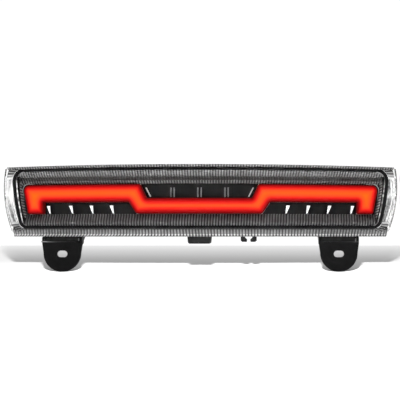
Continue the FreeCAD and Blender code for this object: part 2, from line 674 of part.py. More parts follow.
left_fin_strip = side_strip("left_fin_strip", -1)
right_fin_strip = side_strip("right_fin_strip", 1)
cfins = slab("centre_fin_strip_fins", free_extrusion("centre_fin_prisms", centre_fin_loops(0.0)), P("fin_front"),
             P("plate_back") + 0.3)
mid_in = P("step_up_in") - 1.3
mid_out = P("step_up_out") - 1.6
cpts = [(-mid_in, P("bar_mid_top_z") + 1.4), (mid_in, P("bar_mid_top_z") + 1.4),
        (mid_out, P("bar_top_z") - 0.2), (-mid_out, P("bar_top_z") - 0.2)]
cprism, _ = prism("centre_fin_strip_carrier_prism", cpts)
centre_fin_strip = fuse("centre_fin_strip", [cfins, slab("centre_fin_strip_carrier", cprism, P("plate_back"),
                                                        P("strip_back"))])

# ================================================================= light bar
bar_out = bar_prism("bar_outer_prism", 0.0)
bar_in = bar_prism("bar_inner_prism", -P("bar_wall"), -1.2)
bar_flange = bar_prism("bar_flange_prism", P("bar_flange"))
bar_cap = slab("bar_cap", bar_out, P("bar_front"), P("bar_flange_back"))
doc.recompute()
cap_edges = []
for i, e in enumerate(bar_cap.Shape.Edges):
    ok = True
    for k in range(5):
        t = e.FirstParameter + (e.LastParameter - e.FirstParameter) * k / 4.0
        p = e.valueAt(t)
        if abs(math.hypot(p.x, p.y - BOW_AXIS.v) - (VALUES["bow_rad"] - VALUES["bar_front"])) > 0.01:
            ok = False
    if ok:
        cap_edges.append(i + 1)
cap_round = doc.addObject("Part::Fillet", "bar_front_round")
cap_round.Base = bar_cap
cap_round.Edges = [(i, VALUES["bar_edge_round"], VALUES["bar_edge_round"]) for i in cap_edges]
doc.recompute()
cap_base = cap_round if (not cap_round.Shape.isNull() and cap_round.Shape.isValid()) else bar_cap
print("bar front round used:", cap_base is cap_round, len(cap_edges))
bar_rim = slab("bar_rim", bar_flange, P("plate_back"), P("bar_flange_back"))
bar_full = fuse("bar_full", [cap_base, bar_rim])
bar_hollow = slab("bar_hollow", bar_in, P("bar_front") + P("bar_wall"), P("bar_flange_back") + 3.0)
light_bar_diffuser = cut("light_bar_diffuser", bar_full, bar_hollow)

# ============================================================ reflector tray
LEDS = []
for k in range(11):
    for s in (-1, 1):
        LEDS.append((s * (76.0 + 9.4 * k), 63.2))
for s in (-1, 1):
    LEDS.append((s * 173.4, 54.6))
    LEDS.append((s * 172.8, 47.0))
    LEDS.append((s * 64.2, 56.8))
for k in range(-5, 6):
    LEDS.append((10.6 * k, 50.0))
tray_out = bar_prism("tray_outer_prism", P("bar_flange"))
tray_in = bar_prism("tray_inner_prism", P("bar_flange") - P("tray_wall"), -0.4)
tray_plug = slab("tray_plug", tray_out, P("bar_flange_back"), P("tray_back"))
tray_void = slab("tray_void", tray_in, P("bar_flange_back") - 2.0, P("tray_back") - P("tray_floor"))
tray_shell = cut("tray_shell", tray_plug, tray_void)
tab_loops = []
for x, z in TABS:
    if z > 60:
        tab_loops.append([(x - VALUES["tab_half"], 72.4), (x + VALUES["tab_half"], 72.4),
                          (x + VALUES["tab_half"], z + 3.3), (x - VALUES["tab_half"], z + 3.3)])
    else:
        tab_loops.append([(x - VALUES["tab_half"], z - 3.2), (x + VALUES["tab_half"], z - 3.2),
                          (x + VALUES["tab_half"], 42.0), (x - VALUES["tab_half"], 42.0)])
tabs = slab("tray_tabs", free_extrusion("tray_tab_prisms", tab_loops), P("bar_flange_back"),
            P("bar_flange_back") + P("tab_thick"))
led_prisms = free_extrusion("led_hole_prisms", circles=[(x, z, P("led_hole_rad")) for x, z in LEDS])
led_holes = slab("led_holes", led_prisms, P("tray_back") - P("tray_floor") - 1.0, P("tray_back") + 1.0)
tab_holes = [cylinder("tab_hole_%d" % k, P("tray_screw_rad") + 0.15, 6.0, radial(x, 18.5, z, TO_BACK))
             for k, (x, z) in enumerate(TABS, start=1)]
light_bar_tray = cut("light_bar_tray", fuse("tray_with_tabs", [tray_shell, tabs]),
                     fuse("tray_holes", [led_holes] + tab_holes))

# ================================================================= LED board
board_prism = bar_prism("bar_board_prism", 0.4)
bar_circuit_board = slab("bar_board", board_prism, P("tray_back"), P("tray_back") + P("board_thick"))
bar_circuit_board.Label = "bar_circuit_board"

leds = []
for x, z in LEDS:
    pl = radial(x, VALUES["tray_back"] - VALUES["led_deep"], z)
    pl = pl.multiply(Placement(Vector(-VALUES["led_wide"] / 2, 0, -VALUES["led_tall"] / 2), Rotation()))
    leds.append(box("led", P("led_wide"), P("led_deep"), P("led_tall"), pl))
bar_leds = group("bar_leds", leds)
resistors = []
for x, z in [(-150.0, 66.5), (-120.0, 66.5), (-90.0, 66.5), (-26.0, 46.6), (26.0, 46.6), (90.0, 66.5),
             (120.0, 66.5), (150.0, 66.5)]:
    pl = radial(x, VALUES["tray_back"] + VALUES["board_thick"], z)
    pl = pl.multiply(Placement(Vector(-VALUES["resistor_wide"] / 2, 0.02, -VALUES["resistor_tall"] / 2), Rotation()))
    resistors.append(box("resistor", P("resistor_wide"), P("resistor_deep"), P("resistor_tall"), pl))
bar_resistors = group("bar_resistors", resistors)


# ==================================================================== screws
def screw(name, place, rad, length, head_rad, head_tall):
    """Local +Z runs from the tip's side to the head; the head's seat is at local z = 0."""
    shank = cylinder(name + "_shank", rad, length, place.multiply(Placement(Vector(0, 0, -q(length).v), Rotation())))
    head = cylinder(name + "_head", head_rad, head_tall, place)
    dome = doc.addObject("Part::Cone", name + "_dome")
    dome.Radius1, dome.Radius2, dome.Height = q(head_rad).v, q(head_rad).v * 0.72, q(head_tall).v * 0.3
    bind(dome, "Radius1", head_rad)
    bind(dome, "Radius2", q(head_rad) * 0.72)
    bind(dome, "Height", q(head_tall) * 0.3)
    dome.Placement = place.multiply(Placement(Vector(0, 0, q(head_tall).v), Rotation()))
    whole = fuse(name + "_solid", [shank, head, dome])
    w = q(head_rad).v
    drive = []
    for turn in (0, 90):
        pl = place.multiply(Placement(Vector(0, 0, q(head_tall).v * 0.55), Rotation(Vector(0, 0, 1), turn)))
        pl = pl.multiply(Placement(Vector(-w * 0.5, -w * 0.11, 0), Rotation()))
        drive.append(box(name + "_drive", q(head_rad) * 1.0, q(head_rad) * 0.22, q(head_tall), pl))
    return cut(name, whole, fuse(name + "_recess", drive))


bezel_screws = group("bezel_screws", [
    screw("bezel_screw_%d" % k, radial(x, VALUES["house_back"] - VALUES["seal_thick"] - 0.06 + 2 * VALUES["seal_thick"],
                                       z, TO_BACK),
          P("bezel_screw_rad"), P("bezel_screw_len"), P("bezel_head_rad"), P("bezel_head_tall"))
    for k, (x, z) in enumerate(POSTS, start=1)])
seal_rings = []
for k, (x, z) in enumerate(POSTS, start=1):
    pl = radial(x, VALUES["house_back"] - 0.06, z, TO_BACK)
    pl = Placement(pl.Base + pl.Rotation.multVec(Vector(0, 0, 0.07)), pl.Rotation)
    ring_o = cylinder("screw_seal_body_%d" % k, P("seal_rad"), P("seal_thick") - 0.02, pl)
    ring_i = cylinder("screw_seal_bore_%d" % k, P("bezel_screw_rad") + 0.05, 4.0,
                      Placement(pl.Base - pl.Rotation.multVec(Vector(0, 0, 1)), pl.Rotation))
    seal_rings.append(cut("screw_seal_%d" % k, ring_o, ring_i))
bezel_screw_seals = group("bezel_screw_seals", seal_rings)

tray_screws = group("tray_screws", [
    screw("tray_screw_%d" % k, radial(x, VALUES["bar_flange_back"] + VALUES["tab_thick"] + 0.01, z, TO_BACK),
          P("tray_screw_rad"), P("tray_screw_len") - 0.6, P("tray_head_rad"), P("tray_head_tall"))
    for k, (x, z) in enumerate(TABS, start=1)])

# ========================================================== driver electronics
drv = body("driver_board")
hx = P("driver_long") / 2
hy = P("driver_deep") / 2
drv_sk = sketch(drv, "XY_Plane", "driver_board_outline",
                [[(-hx, -hy), (hx, -hy), (hx, hy), (-hx, hy)]],
                [(-26.5, 0, P("driver_screw_rad") + 0.15), (26.5, 0, P("driver_screw_rad") + 0.15)])
grow(drv, "Pad", drv_sk, "driver_board_pad", P("driver_thick"))
drv.Placement = at(P("driver_x"), driver_mid, P("driver_z"))
follow(drv, x=P("driver_x"), y=driver_mid, z=P("driver_z"))
top_z = P("driver_z") + P("driver_thick")
driver_screws = group("driver_screws", [
    screw("driver_screw_%d" % k, at(x, driver_mid, top_z), P("driver_screw_rad"), P("driver_screw_len"),
          P("driver_head_rad"), P("driver_head_tall")) for k, x in enumerate(STAND, start=1)])
caps = []
for k, x in enumerate((-66.0, -58.6), start=1):
    c = cylinder("capacitor_%d" % k, P("cap_rad"), P("cap_tall"), at(x, driver_mid, top_z))
    caps.append(follow(c, y=driver_mid, z=top_z))
driver_capacitors = group("driver_capacitors", caps)
driver_regulator = box("driver_regulator", 6.6, 6.1, 2.3, at(-52.5, driver_mid - 3.05, top_z))
follow(driver_regulator, y=driver_mid - 3.05, z=top_z)
driver_diode = box("driver_diode", 4.4, 2.6, 2.2, at(-42.6, driver_mid - 1.3, top_z))
follow(driver_diode, y=driver_mid - 1.3, z=top_z)

# ================================================================= connector
con = body("connector_shroud")
top_half, bot_half = P("conn_top_wide") / 2, P("conn_bot_wide") / 2
fz = P("conn_flange_z")
sk = sketch(con, "XZ_Plane", "shroud_face",
            [[(-bot_half, P("conn_bot_z")), (bot_half, P("conn_bot_z")), (top_half, fz), (-top_half, fz)]],
            level=P("conn_front") - P("conn_deep"))
shroud_pad = grow(con, "Pad", sk, "shroud_block", P("conn_deep"))
shroud_round = body_fillet(con, "shroud_low_corners", shroud_pad,
                           along_y(lambda x: True, lambda z: z < VALUES["conn_bot_z"] + 1), 2.2)
fl = sketch(con, "XY_Plane", "shroud_flange_outline",
            [[(-P("conn_flange_long") / 2, -P("conn_front")), (P("conn_flange_long") / 2, -P("conn_front")),
              (P("conn_flange_long") / 2, -P("conn_front") + P("conn_deep")),
              (-P("conn_flange_long") / 2, -P("conn_front") + P("conn_deep"))]], level=fz)
grow(con, "Pad", fl, "shroud_flange", P("conn_flange_thick"))
nk = sketch(con, "XY_Plane", "shroud_neck_outline",
            [[(-P("conn_neck_wide") / 2, neck_y - P("conn_neck_deep") / 2),
              (P("conn_neck_wide") / 2, neck_y - P("conn_neck_deep") / 2),
              (P("conn_neck_wide") / 2, neck_y + P("conn_neck_deep") / 2),
              (-P("conn_neck_wide") / 2, neck_y + P("conn_neck_deep") / 2)]], level=fz + P("conn_flange_thick"))
grow(con, "Pad", nk, "shroud_neck", P("conn_neck_z") - fz - P("conn_flange_thick"))
cw = P("conn_wall")
cv = sketch(con, "XY_Plane", "shroud_socket",
            [[(-bot_half + cw, -P("conn_front") + cw), (bot_half - cw, -P("conn_front") + cw),
              (bot_half - cw, -P("conn_front") + P("conn_deep") - cw),
              (-bot_half + cw, -P("conn_front") + P("conn_deep") - cw)]], level=P("conn_bot_z"))
grow(con, "Pocket", cv, "shroud_socket_cut", P("conn_floor_z") - P("conn_bot_z") - 1.2, flip=True)
ps = sketch(con, "XY_Plane", "shroud_pin_slots", [
    [(s * (P("pin_pitch") / 2) - P("pin_wide") / 2, neck_y - P("pin_thick") / 2),
     (s * (P("pin_pitch") / 2) + P("pin_wide") / 2, neck_y - P("pin_thick") / 2),
     (s * (P("pin_pitch") / 2) + P("pin_wide") / 2, neck_y + P("pin_thick") / 2),
     (s * (P("pin_pitch") / 2) - P("pin_wide") / 2, neck_y + P("pin_thick") / 2)] for s in (-1, 1)])
grow(con, "Pocket", ps, "shroud_pin_cut", through=True, both=True)
sh = sketch(con, "XY_Plane", "shroud_screw_holes", circles=[
    (s * P("conn_screw_x"), neck_y, P("conn_screw_rad") + 0.2) for s in (-1, 1)])
grow(con, "Pocket", sh, "shroud_screw_cut", through=True, both=True)

pins = []
for s in (-1, 1):
    x0 = s * VALUES["pin_pitch"] / 2 - VALUES["pin_wide"] / 2
    p_ = box("pin", P("pin_wide"), P("pin_thick"), P("pin_high_z") - P("pin_low_z"),
             at(x0, neck_y - P("pin_thick") / 2, P("pin_low_z")))
    pins.append(follow(p_, y=neck_y - P("pin_thick") / 2, z=P("pin_low_z")))
terminal_pins = group("terminal_pins", pins)

gk = body("connector_seal")
gsk = sketch(gk, "XY_Plane", "connector_seal_outline",
             [[(-P("conn_flange_long") / 2 + 0.5, -P("conn_front") + 0.5),
               (P("conn_flange_long") / 2 - 0.5, -P("conn_front") + 0.5),
               (P("conn_flange_long") / 2 - 0.5, -P("conn_front") + P("conn_deep") - 0.5),
               (-P("conn_flange_long") / 2 + 0.5, -P("conn_front") + P("conn_deep") - 0.5)],
              [(-P("conn_neck_wide") / 2 - 0.6, neck_y - P("conn_neck_deep") / 2 - 0.6),
               (P("conn_neck_wide") / 2 + 0.6, neck_y - P("conn_neck_deep") / 2 - 0.6),
               (P("conn_neck_wide") / 2 + 0.6, neck_y + P("conn_neck_deep") / 2 + 0.6),
               (-P("conn_neck_wide") / 2 - 0.6, neck_y + P("conn_neck_deep") / 2 + 0.6)]],
             [(s * P("conn_screw_x"), neck_y, P("conn_screw_rad") + 0.4) for s in (-1, 1)],
             level=fz + P("conn_flange_thick"))
grow(gk, "Pad", gsk, "connector_seal_pad", 0.8)
DOWN = Rotation(Vector(1, 0, 0), 180)
connector_screws = group("connector_screws", [
    screw("connector_screw_%d" % k, at(s * VALUES["conn_screw_x"], neck_y, fz, DOWN), P("conn_screw_rad"),
          P("conn_screw_len"), P("conn_head_rad"), P("conn_head_tall")) for k, s in enumerate((-1, 1), start=1)])


# ===================================================================== wires
def pipe(name, role, path, rad, start_role, start_at, level, start_level):
    """path: points in the sketch plane, corners rounded with wire_bend."""
    b = body(name)
    sk = b.newObject("Sketcher::SketchObject", name + "_path")
    sk.AttachmentSupport = [(origin_of(b, role), "")]
    sk.MapMode = "FlatFace"
    sk.AttachmentOffset = Placement(Vector(0, 0, q(level).v), Rotation())
    bind(sk, "AttachmentOffset.Base.z", level)
    r = VALUES["wire_bend"]
    pts = [Vector(q(p[0]).v, q(p[1]).v, 0) for p in path]
    cur = pts[0]
    for i in range(1, len(pts)):
        if i < len(pts) - 1:
            a = (pts[i - 1] - pts[i]).normalize()
            c = (pts[i + 1] - pts[i]).normalize()
            half = a.getAngle(c) / 2
            reach = r / math.tan(half)
            t1, t2 = pts[i] + a * reach, pts[i] + c * reach
            mid_dir = (a + c).normalize()
            centre = pts[i] + mid_dir * (r / math.sin(half))
            mid = centre - mid_dir * r
            sk.addGeometry(Part.LineSegment(cur, t1), False)
            sk.addGeometry(Part.Arc(t1, mid, t2), False)
            cur = t2
        else:
            sk.addGeometry(Part.LineSegment(cur, pts[i]), False)
    pr = b.newObject("Sketcher::SketchObject", name + "_round")
    pr.AttachmentSupport = [(origin_of(b, start_role), "")]
    pr.MapMode = "FlatFace"
    pr.AttachmentOffset = Placement(Vector(0, 0, q(start_level).v), Rotation())
    add_circle(pr, start_at[0], start_at[1], rad)
    doc.recompute()
    f = b.newObject("PartDesign::AdditivePipe", name + "_pipe")
    f.Profile = pr
    f.Spine = (sk, ["Edge%d" % (i + 1) for i in range(len(sk.Shape.Edges))])
    sk.Visibility = False
    pr.Visibility = False
    doc.recompute()
    return b


pin_top = VALUES["pin_high_z"]
sup = []
for k, (x0, x1, lvl) in enumerate(((-3.0, -24.4, 37.6), (3.0, -27.9, 40.2)), start=1):
    yw = neck_y.v
    sup.append(pipe("supply_wire_%d" % k, "XZ_Plane",
                    [(x0, pin_top + 0.05), (x0, lvl), (x1 - 3.5, lvl), (x1 - 3.5, top_z.v)],
                    P("wire_rad"), "XY_Plane", (x0, yw), -yw, pin_top + 0.05))
supply_wires = group("supply_wires", sup)
feed = []
for k, x0 in enumerate((-37.4, -34.6), start=1):
    y0 = bow_y(x0, VALUES["tray_back"] + VALUES["board_thick"])
    yw = y0 + 2.4
    feed.append(pipe("bar_feed_wire_%d" % k, "YZ_Plane",
                     [(yw, top_z.v + 0.02), (yw, 49.0), (y0 + 0.02, 49.0)],
                     P("wire_rad"), "XY_Plane", (x0, yw), x0, top_z.v + 0.02))
bar_feed_wires = group("bar_feed_wires", feed)


# ================================================================== brackets
def bracket(name, s):
    b = body(name)
    t, ftk = P("plate"), P("flange_thick")
    ft, fb = P("flange_top"), P("flange_back")
    pz, py, pw, seat = P("pocket_z"), P("pocket_back"), P("pocket_wall"), P("seat_top")
    low = -(P("ear_end_rad") - P("ear_round_z")) - 1.0
    section = [(-t, low), (0.0, low), (0.0, seat), (1.2, seat + 0.3), (py + pw - 0.8, seat + 2.2),
               (py + pw, seat + 3.2), (py + pw, ft - ftk), (fb, ft - ftk), (fb, ft), (py, ft),
               (py, pz + 2.4), (py - 0.7, pz + 0.7), (py - 2.4, pz), (-t + 1.0, pz), (-t + 0.3, pz - 0.3),
               (-t, pz - 1.0)]
    sk = sketch(b, "YZ_Plane", name + "_section", [section])
    pad = grow(b, "Pad", sk, name + "_plate", P("ear_half") * 2, both=True)
    # the ear's rounded end
    wide = P("ear_half") + 10.0
    cutter = [(-wide, P("ear_taper_z")), (-P("ear_half"), P("ear_taper_z")),
              (-P("ear_waist"), P("ear_round_z"), P("ear_end_rad"), -1),
              (P("ear_waist"), P("ear_round_z")), (P("ear_half"), P("ear_taper_z")), (wide, P("ear_taper_z")),
              (wide, low - 6.0), (-wide, low - 6.0)]
    sk = sketch(b, "XZ_Plane", name + "_ear_cut", [cutter])
    grow(b, "Pocket", sk, name + "_ear", 40.0, both=True)
    # walls that close the pocket at both edges, with a gusset behind each
    for side in (-1, 1):
        level = P("ear_half") * side - (P("wall_thick") if side > 0 else Q(0.0))
        sk = sketch(b, "YZ_Plane", name + "_wall_face",
                    [[(-t, pz - 2.0), (-t, P("wall_top") - 0.5), (-t + 0.5, P("wall_top")), (0.4, P("wall_top")),
                      (0.4, ft), (py + 0.5, ft), (py + 0.5, pz - 2.0)]], level=level)
        grow(b, "Pad", sk, name + "_wall", P("wall_thick"))
        sk = sketch(b, "YZ_Plane", name + "_gusset_face",
                    [[(py + pw - 0.6, seat + 4.6), (py + pw, seat + 4.6), (fb - 1.0, ft - ftk), (fb - 1.0, ft - 0.6),
                      (py + pw - 0.6, ft - 0.6)]], level=level)
        grow(b, "Pad", sk, name + "_gusset", P("wall_thick"))
    c = P("slot_long") / 2 - P("slot_half")
    slot = [(-c, P("slot_half")), (-c, -P("slot_half")), (c, -P("slot_half")), (c, P("slot_half"))]
    slot[0] = (-c, P("slot_half"), P("slot_half") + 0.0, -1)
    slot[2] = (c, -P("slot_half"), P("slot_half") + 0.0, -1)
    sk = sketch(b, "XZ_Plane", name + "_slot", [slot])
    grow(b, "Pocket", sk, name + "_slot_cut", 12.0, both=True)
    sk = sketch(b, "XY_Plane", name + "_screw_holes",
                circles=[(-P("bracket_screw_x"), P("bracket_screw_y"), P("flange_hole")),
                         (P("bracket_screw_x"), P("bracket_screw_y"), P("flange_hole"))], level=ft - ftk - 1.0)
    grow(b, "Pocket", sk, name + "_screw_cut", ftk + 3.0, flip=True)
    x = s * (P("slot_spacing") / 2)
    b.Placement = at(x, 0, 0)
    follow(b, x=x)
    return b


left_bracket = bracket("left_mounting_bracket", -1)
right_bracket = bracket("right_mounting_bracket", 1)
bscrews, inserts = [], []
for side in (-1, 1):
    for dx in (-1, 1):
        x = side * VALUES["slot_spacing"] / 2 + dx * VALUES["bracket_screw_x"]
        k = len(bscrews) + 1
        bscrews.append(screw("bracket_screw_%d" % k, at(x, P("bracket_screw_y"), P("flange_top") - P("flange_thick"), DOWN),
                             P("bracket_screw_rad"), P("bracket_screw_len"), P("bracket_head_rad"),
                             P("bracket_head_tall")))
        o = cylinder("insert_body_%d" % k, P("insert_rad"), P("insert_len"), at(x, P("bracket_screw_y"), P("flange_top")))
        follow(o, y=P("bracket_screw_y"), z=P("flange_top"))
        i_ = cylinder("insert_bore_%d" % k, P("insert_hole"), P("insert_len") + 2.0,
                      at(x, P("bracket_screw_y"), P("flange_top") - 1.0))
        follow(i_, y=P("bracket_screw_y"), z=P("flange_top") - 1.0)
        inserts.append(cut("insert_%d" % k, o, i_))
bracket_screws = group("bracket_screws", bscrews)
bracket_inserts = group("bracket_inserts", inserts)

# ============================================================== harness clip
cl = body("harness_clip")
half, mouth, bore = P("clip_wide") / 2, P("clip_mouth") / 2, P("clip_bore")
az, bz_ = P("clip_axis_z"), P("clip_bot_z")
base_z = 27.2
clip_pts = [(-half, base_z), (-half, bz_ + 1.5), (-half + 1.5, bz_), (half - 1.5, bz_), (half, bz_ + 1.5),
            (half, base_z)]
sk = sketch(cl, "XZ_Plane", "clip_face", [clip_pts], level=P("clip_front") - P("clip_deep"))
clip_pad = grow(cl, "Pad", sk, "clip_block", P("clip_deep"))
before = volume_of(clip_pad)
sk = sketch(cl, "XZ_Plane", "clip_bore_round", circles=[(0, az, bore)])
clip_bored = grow(cl, "Pocket", sk, "clip_bore", through=True, both=True)
sk = sketch(cl, "XZ_Plane", "clip_mouth_gap",
            [[(-mouth - 0.7, bz_ - 1.0), (mouth + 0.7, bz_ - 1.0), (mouth + 0.7, bz_), (mouth, bz_ + 0.7), (mouth, az),
              (-mouth, az), (-mouth, bz_ + 0.7), (-mouth - 0.7, bz_)]])
clip_open = grow(cl, "Pocket", sk, "clip_mouth", through=True, both=True)
print("clip volumes", before, volume_of(clip_bored), volume_of(clip_open))
sk = sketch(cl, "XY_Plane", "clip_peg_round", circles=[(0, clip_y, P("clip_peg_rad"))], level=base_z - 0.5)
grow(cl, "Pad", sk, "clip_peg", P("clip_peg_top") - base_z + 0.5)
cl.Placement = at(P("clip_x"), 0, 0)
follow(cl, x=P("clip_x"))

# ================================================================== breather
vp = radial(VALUES["vent_x"], VALUES["house_back"], VALUES["vent_z"], TO_BACK)
lift = lambda d: Placement(vp.Base + vp.Rotation.multVec(Vector(0, 0, d)), vp.Rotation)
vent_membrane = cylinder("vent_membrane", P("membrane_rad"), P("membrane_thick"), lift(0.04))
cap_o = cylinder("vent_cap_outer", P("vent_rad"), P("vent_tall"), lift(0.06))
cap_i = cylinder("vent_cap_recess", P("membrane_rad") + 0.3, P("membrane_thick") + 1.2, lift(0.0))
cap_slots = [box("vent_cap_slot", 20.0, 1.6, 0.9 + 0.06,
                 lift(0.0).multiply(Placement(Vector(-10.0, -0.8, 0), Rotation())))]
vent_cap = cut("vent_cap", cap_o, fuse("vent_cap_tools", [cap_i] + cap_slots))

doc.recompute()

# ==================================================================== export
NODES = [
    ("outer_lens", outer_lens), ("lens_seal", lens_seal), ("rear_housing", rear_housing),
    ("inner_bezel", inner_bezel), ("light_bar_diffuser", light_bar_diffuser), ("light_bar_tray", light_bar_tray),
    ("bar_circuit_board", bar_circuit_board), ("bar_leds", bar_leds), ("bar_resistors", bar_resistors),
    ("left_fin_strip", left_fin_strip), ("right_fin_strip", right_fin_strip),
    ("centre_fin_strip", centre_fin_strip), ("bezel_screws", bezel_screws),
    ("bezel_screw_seals", bezel_screw_seals), ("tray_screws", tray_screws), ("driver_board", drv),
    ("driver_screws", driver_screws), ("driver_capacitors", driver_capacitors),
    ("driver_regulator", driver_regulator), ("driver_diode", driver_diode), ("connector_shroud", con),
    ("terminal_pins", terminal_pins), ("connector_seal", gk), ("connector_screws", connector_screws),
    ("supply_wires", supply_wires), ("bar_feed_wires", bar_feed_wires),
    ("left_mounting_bracket", left_bracket), ("right_mounting_bracket", right_bracket),
    ("bracket_screws", bracket_screws), ("bracket_inserts", bracket_inserts), ("harness_clip", cl),
    ("vent_membrane", vent_membrane), ("vent_cap", vent_cap),
]

bad = []
for obj in doc.Objects:
    state = list(obj.State)
    if "Invalid" in state or "Error" in state:
        bad.append("%s %s" % (obj.Name, state))
for name, obj in NODES:
    obj.Label = name
    shape = obj.Shape
    if shape.isNull() or not shape.isValid() or not shape.Solids:
        bad.append("%s shape null=%s" % (name, shape.isNull()))
        continue
    bb = shape.BoundBox
    print("%-24s solids %3d vol %10.1f  x %.1f..%.1f y %.1f..%.1f z %.1f..%.1f" % (
        name, len(shape.Solids), shape.Volume, bb.XMin, bb.XMax, bb.YMin, bb.YMax, bb.ZMin, bb.ZMax))
if bad:
    for line in bad:
        print("BAD", line)
    raise SystemExit(1)

os.makedirs("parts", exist_ok=True)
for name, obj in NODES:
    obj.Shape.exportStep(os.path.join("parts", name + ".step"))
print("exported", len(NODES))
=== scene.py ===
import bpy
import bmesh
import math
from mathutils import Vector, Matrix


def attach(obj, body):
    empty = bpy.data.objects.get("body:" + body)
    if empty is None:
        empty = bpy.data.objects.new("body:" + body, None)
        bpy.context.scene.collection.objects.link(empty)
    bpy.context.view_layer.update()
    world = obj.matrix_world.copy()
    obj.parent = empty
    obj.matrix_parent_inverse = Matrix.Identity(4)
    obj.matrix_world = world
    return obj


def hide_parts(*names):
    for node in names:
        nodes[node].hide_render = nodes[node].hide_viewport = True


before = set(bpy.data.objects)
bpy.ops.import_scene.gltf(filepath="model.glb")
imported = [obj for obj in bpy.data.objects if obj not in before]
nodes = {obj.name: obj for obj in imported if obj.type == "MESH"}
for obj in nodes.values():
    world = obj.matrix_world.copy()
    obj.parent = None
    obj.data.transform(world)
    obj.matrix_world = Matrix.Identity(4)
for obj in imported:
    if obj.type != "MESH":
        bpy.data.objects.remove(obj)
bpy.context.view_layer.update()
scene = bpy.context.scene
MM = 0.001

# ------------------------------------------------------------------ geometry
BOW = 668.0
AXIS_Y = 628.0


def bow_y(x, off):
    r = BOW - off
    return AXIS_Y - math.sqrt(max(r * r - x * x, 1.0))


def new_object(name, verts, faces, smooth=True, replaces=()):
    me = bpy.data.meshes.new(name)
    me.from_pydata([(v[0] * MM, v[1] * MM, v[2] * MM) for v in verts], [], faces)
    me.validate()
    me.update()
    for p in me.polygons:
        p.use_smooth = smooth
    ob = bpy.data.objects.new(name, me)
    scene.collection.objects.link(ob)
    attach(ob, "root")
    if replaces:
        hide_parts(*replaces)
    return ob


# ----------------------------------------------------------------- materials
def srgb(r, g, b):
    def f(c):
        c /= 255.0
        return c / 12.92 if c <= 0.04045 else ((c + 0.055) / 1.055) ** 2.4
    return (f(r), f(g), f(b), 1.0)


class Mat:
    def __init__(self, name):
        self.m = bpy.data.materials.new(name)
        self.m.use_nodes = True
        self.t = self.m.node_tree
        self.b = self.t.nodes["Principled BSDF"]

    def node(self, kind, **inputs):
        n = self.t.nodes.new(kind)
        for k, v in inputs.items():
            n.inputs[k.replace("_", " ")].default_value = v
        return n

    def link(self, a, b):
        self.t.links.new(a, b)

    def coords(self, scale=(1, 1, 1)):
        tc = self.t.nodes.new("ShaderNodeTexCoord")
        mp = self.t.nodes.new("ShaderNodeMapping")
        mp.inputs["Scale"].default_value = scale
        self.link(tc.outputs["Object"], mp.inputs["Vector"])
        return mp.outputs["Vector"]


def plastic(name, color, rough=0.4, grain=900.0, bump=0.05, vary=0.25, metallic=0.0, spec=0.5, rough_vary=0.12,
            scale=(1, 1, 1), bump_dist=0.0002):
    """Moulded, cast or plated surface: mottled colour, uneven gloss and a fine grain."""
    w = Mat(name)
    v = w.coords(scale)
    n1 = w.node("ShaderNodeTexNoise", Scale=38.0, Detail=4.0, Roughness=0.6)
    w.link(v, n1.inputs["Vector"])
    ramp = w.t.nodes.new("ShaderNodeValToRGB")
    lo = [c * (1 - vary) for c in color[:3]] + [1]
    hi = [min(c * (1 + vary), 1) for c in color[:3]] + [1]
    ramp.color_ramp.elements[0].position = 0.3
    ramp.color_ramp.elements[1].position = 0.7
    ramp.color_ramp.elements[0].color = lo
    ramp.color_ramp.elements[1].color = hi
    w.link(n1.outputs["Fac"], ramp.inputs["Fac"])
    w.link(ramp.outputs["Color"], w.b.inputs["Base Color"])
    n2 = w.node("ShaderNodeTexNoise", Scale=120.0, Detail=3.0)
    w.link(v, n2.inputs["Vector"])
    mr = w.t.nodes.new("ShaderNodeMapRange")
    mr.inputs["To Min"].default_value = max(rough - rough_vary, 0.03)
    mr.inputs["To Max"].default_value = min(rough + rough_vary, 1.0)
    w.link(n2.outputs["Fac"], mr.inputs["Value"])
    w.link(mr.outputs["Result"], w.b.inputs["Roughness"])
    n3 = w.node("ShaderNodeTexNoise", Scale=grain, Detail=2.0)
    w.link(v, n3.inputs["Vector"])
    bp = w.node("ShaderNodeBump", Strength=bump, Distance=bump_dist)
    w.link(n3.outputs["Fac"], bp.inputs["Height"])
    w.link(bp.outputs["Normal"], w.b.inputs["Normal"])
    w.b.inputs["Metallic"].default_value = metallic
    w.b.inputs["Specular IOR Level"].default_value = spec
    return w


def give(ob, mat):
    ob.data.materials.clear()
    ob.data.materials.append(mat.m)


def give_node(name, mat):
    ob = nodes[name]
    if not ob.material_slots:
        ob.data.materials.append(mat.m)
    for s in ob.material_slots:
        s.material = mat.m


def clear_plastic(name, tint, face, edge, rough=0.08, ribs=0.0):
    """Clear moulding: almost unseen face on, paler and more solid where it is seen edge on."""
    w = Mat(name)
    v = w.coords()
    n = w.node("ShaderNodeTexNoise", Scale=60.0, Detail=2.0)
    w.link(v, n.inputs["Vector"])
    r = w.t.nodes.new("ShaderNodeMapRange")
    r.inputs["To Min"].default_value = rough * 0.6
    r.inputs["To Max"].default_value = rough * 1.5
    w.link(n.outputs["Fac"], r.inputs["Value"])
    w.link(r.outputs["Result"], w.b.inputs["Roughness"])
    w.b.inputs["Base Color"].default_value = tint
    lw = w.node("ShaderNodeLayerWeight", Blend=0.35)
    mr = w.t.nodes.new("ShaderNodeMapRange")
    mr.inputs["From Min"].default_value = 0.45
    mr.inputs["From Max"].default_value = 1.0
    mr.inputs["To Min"].default_value = face
    mr.inputs["To Max"].default_value = edge
    w.link(lw.outputs["Facing"], mr.inputs["Value"])
    w.link(mr.outputs["Result"], w.b.inputs["Alpha"])
    w.b.inputs["IOR"].default_value = 1.45
    return w


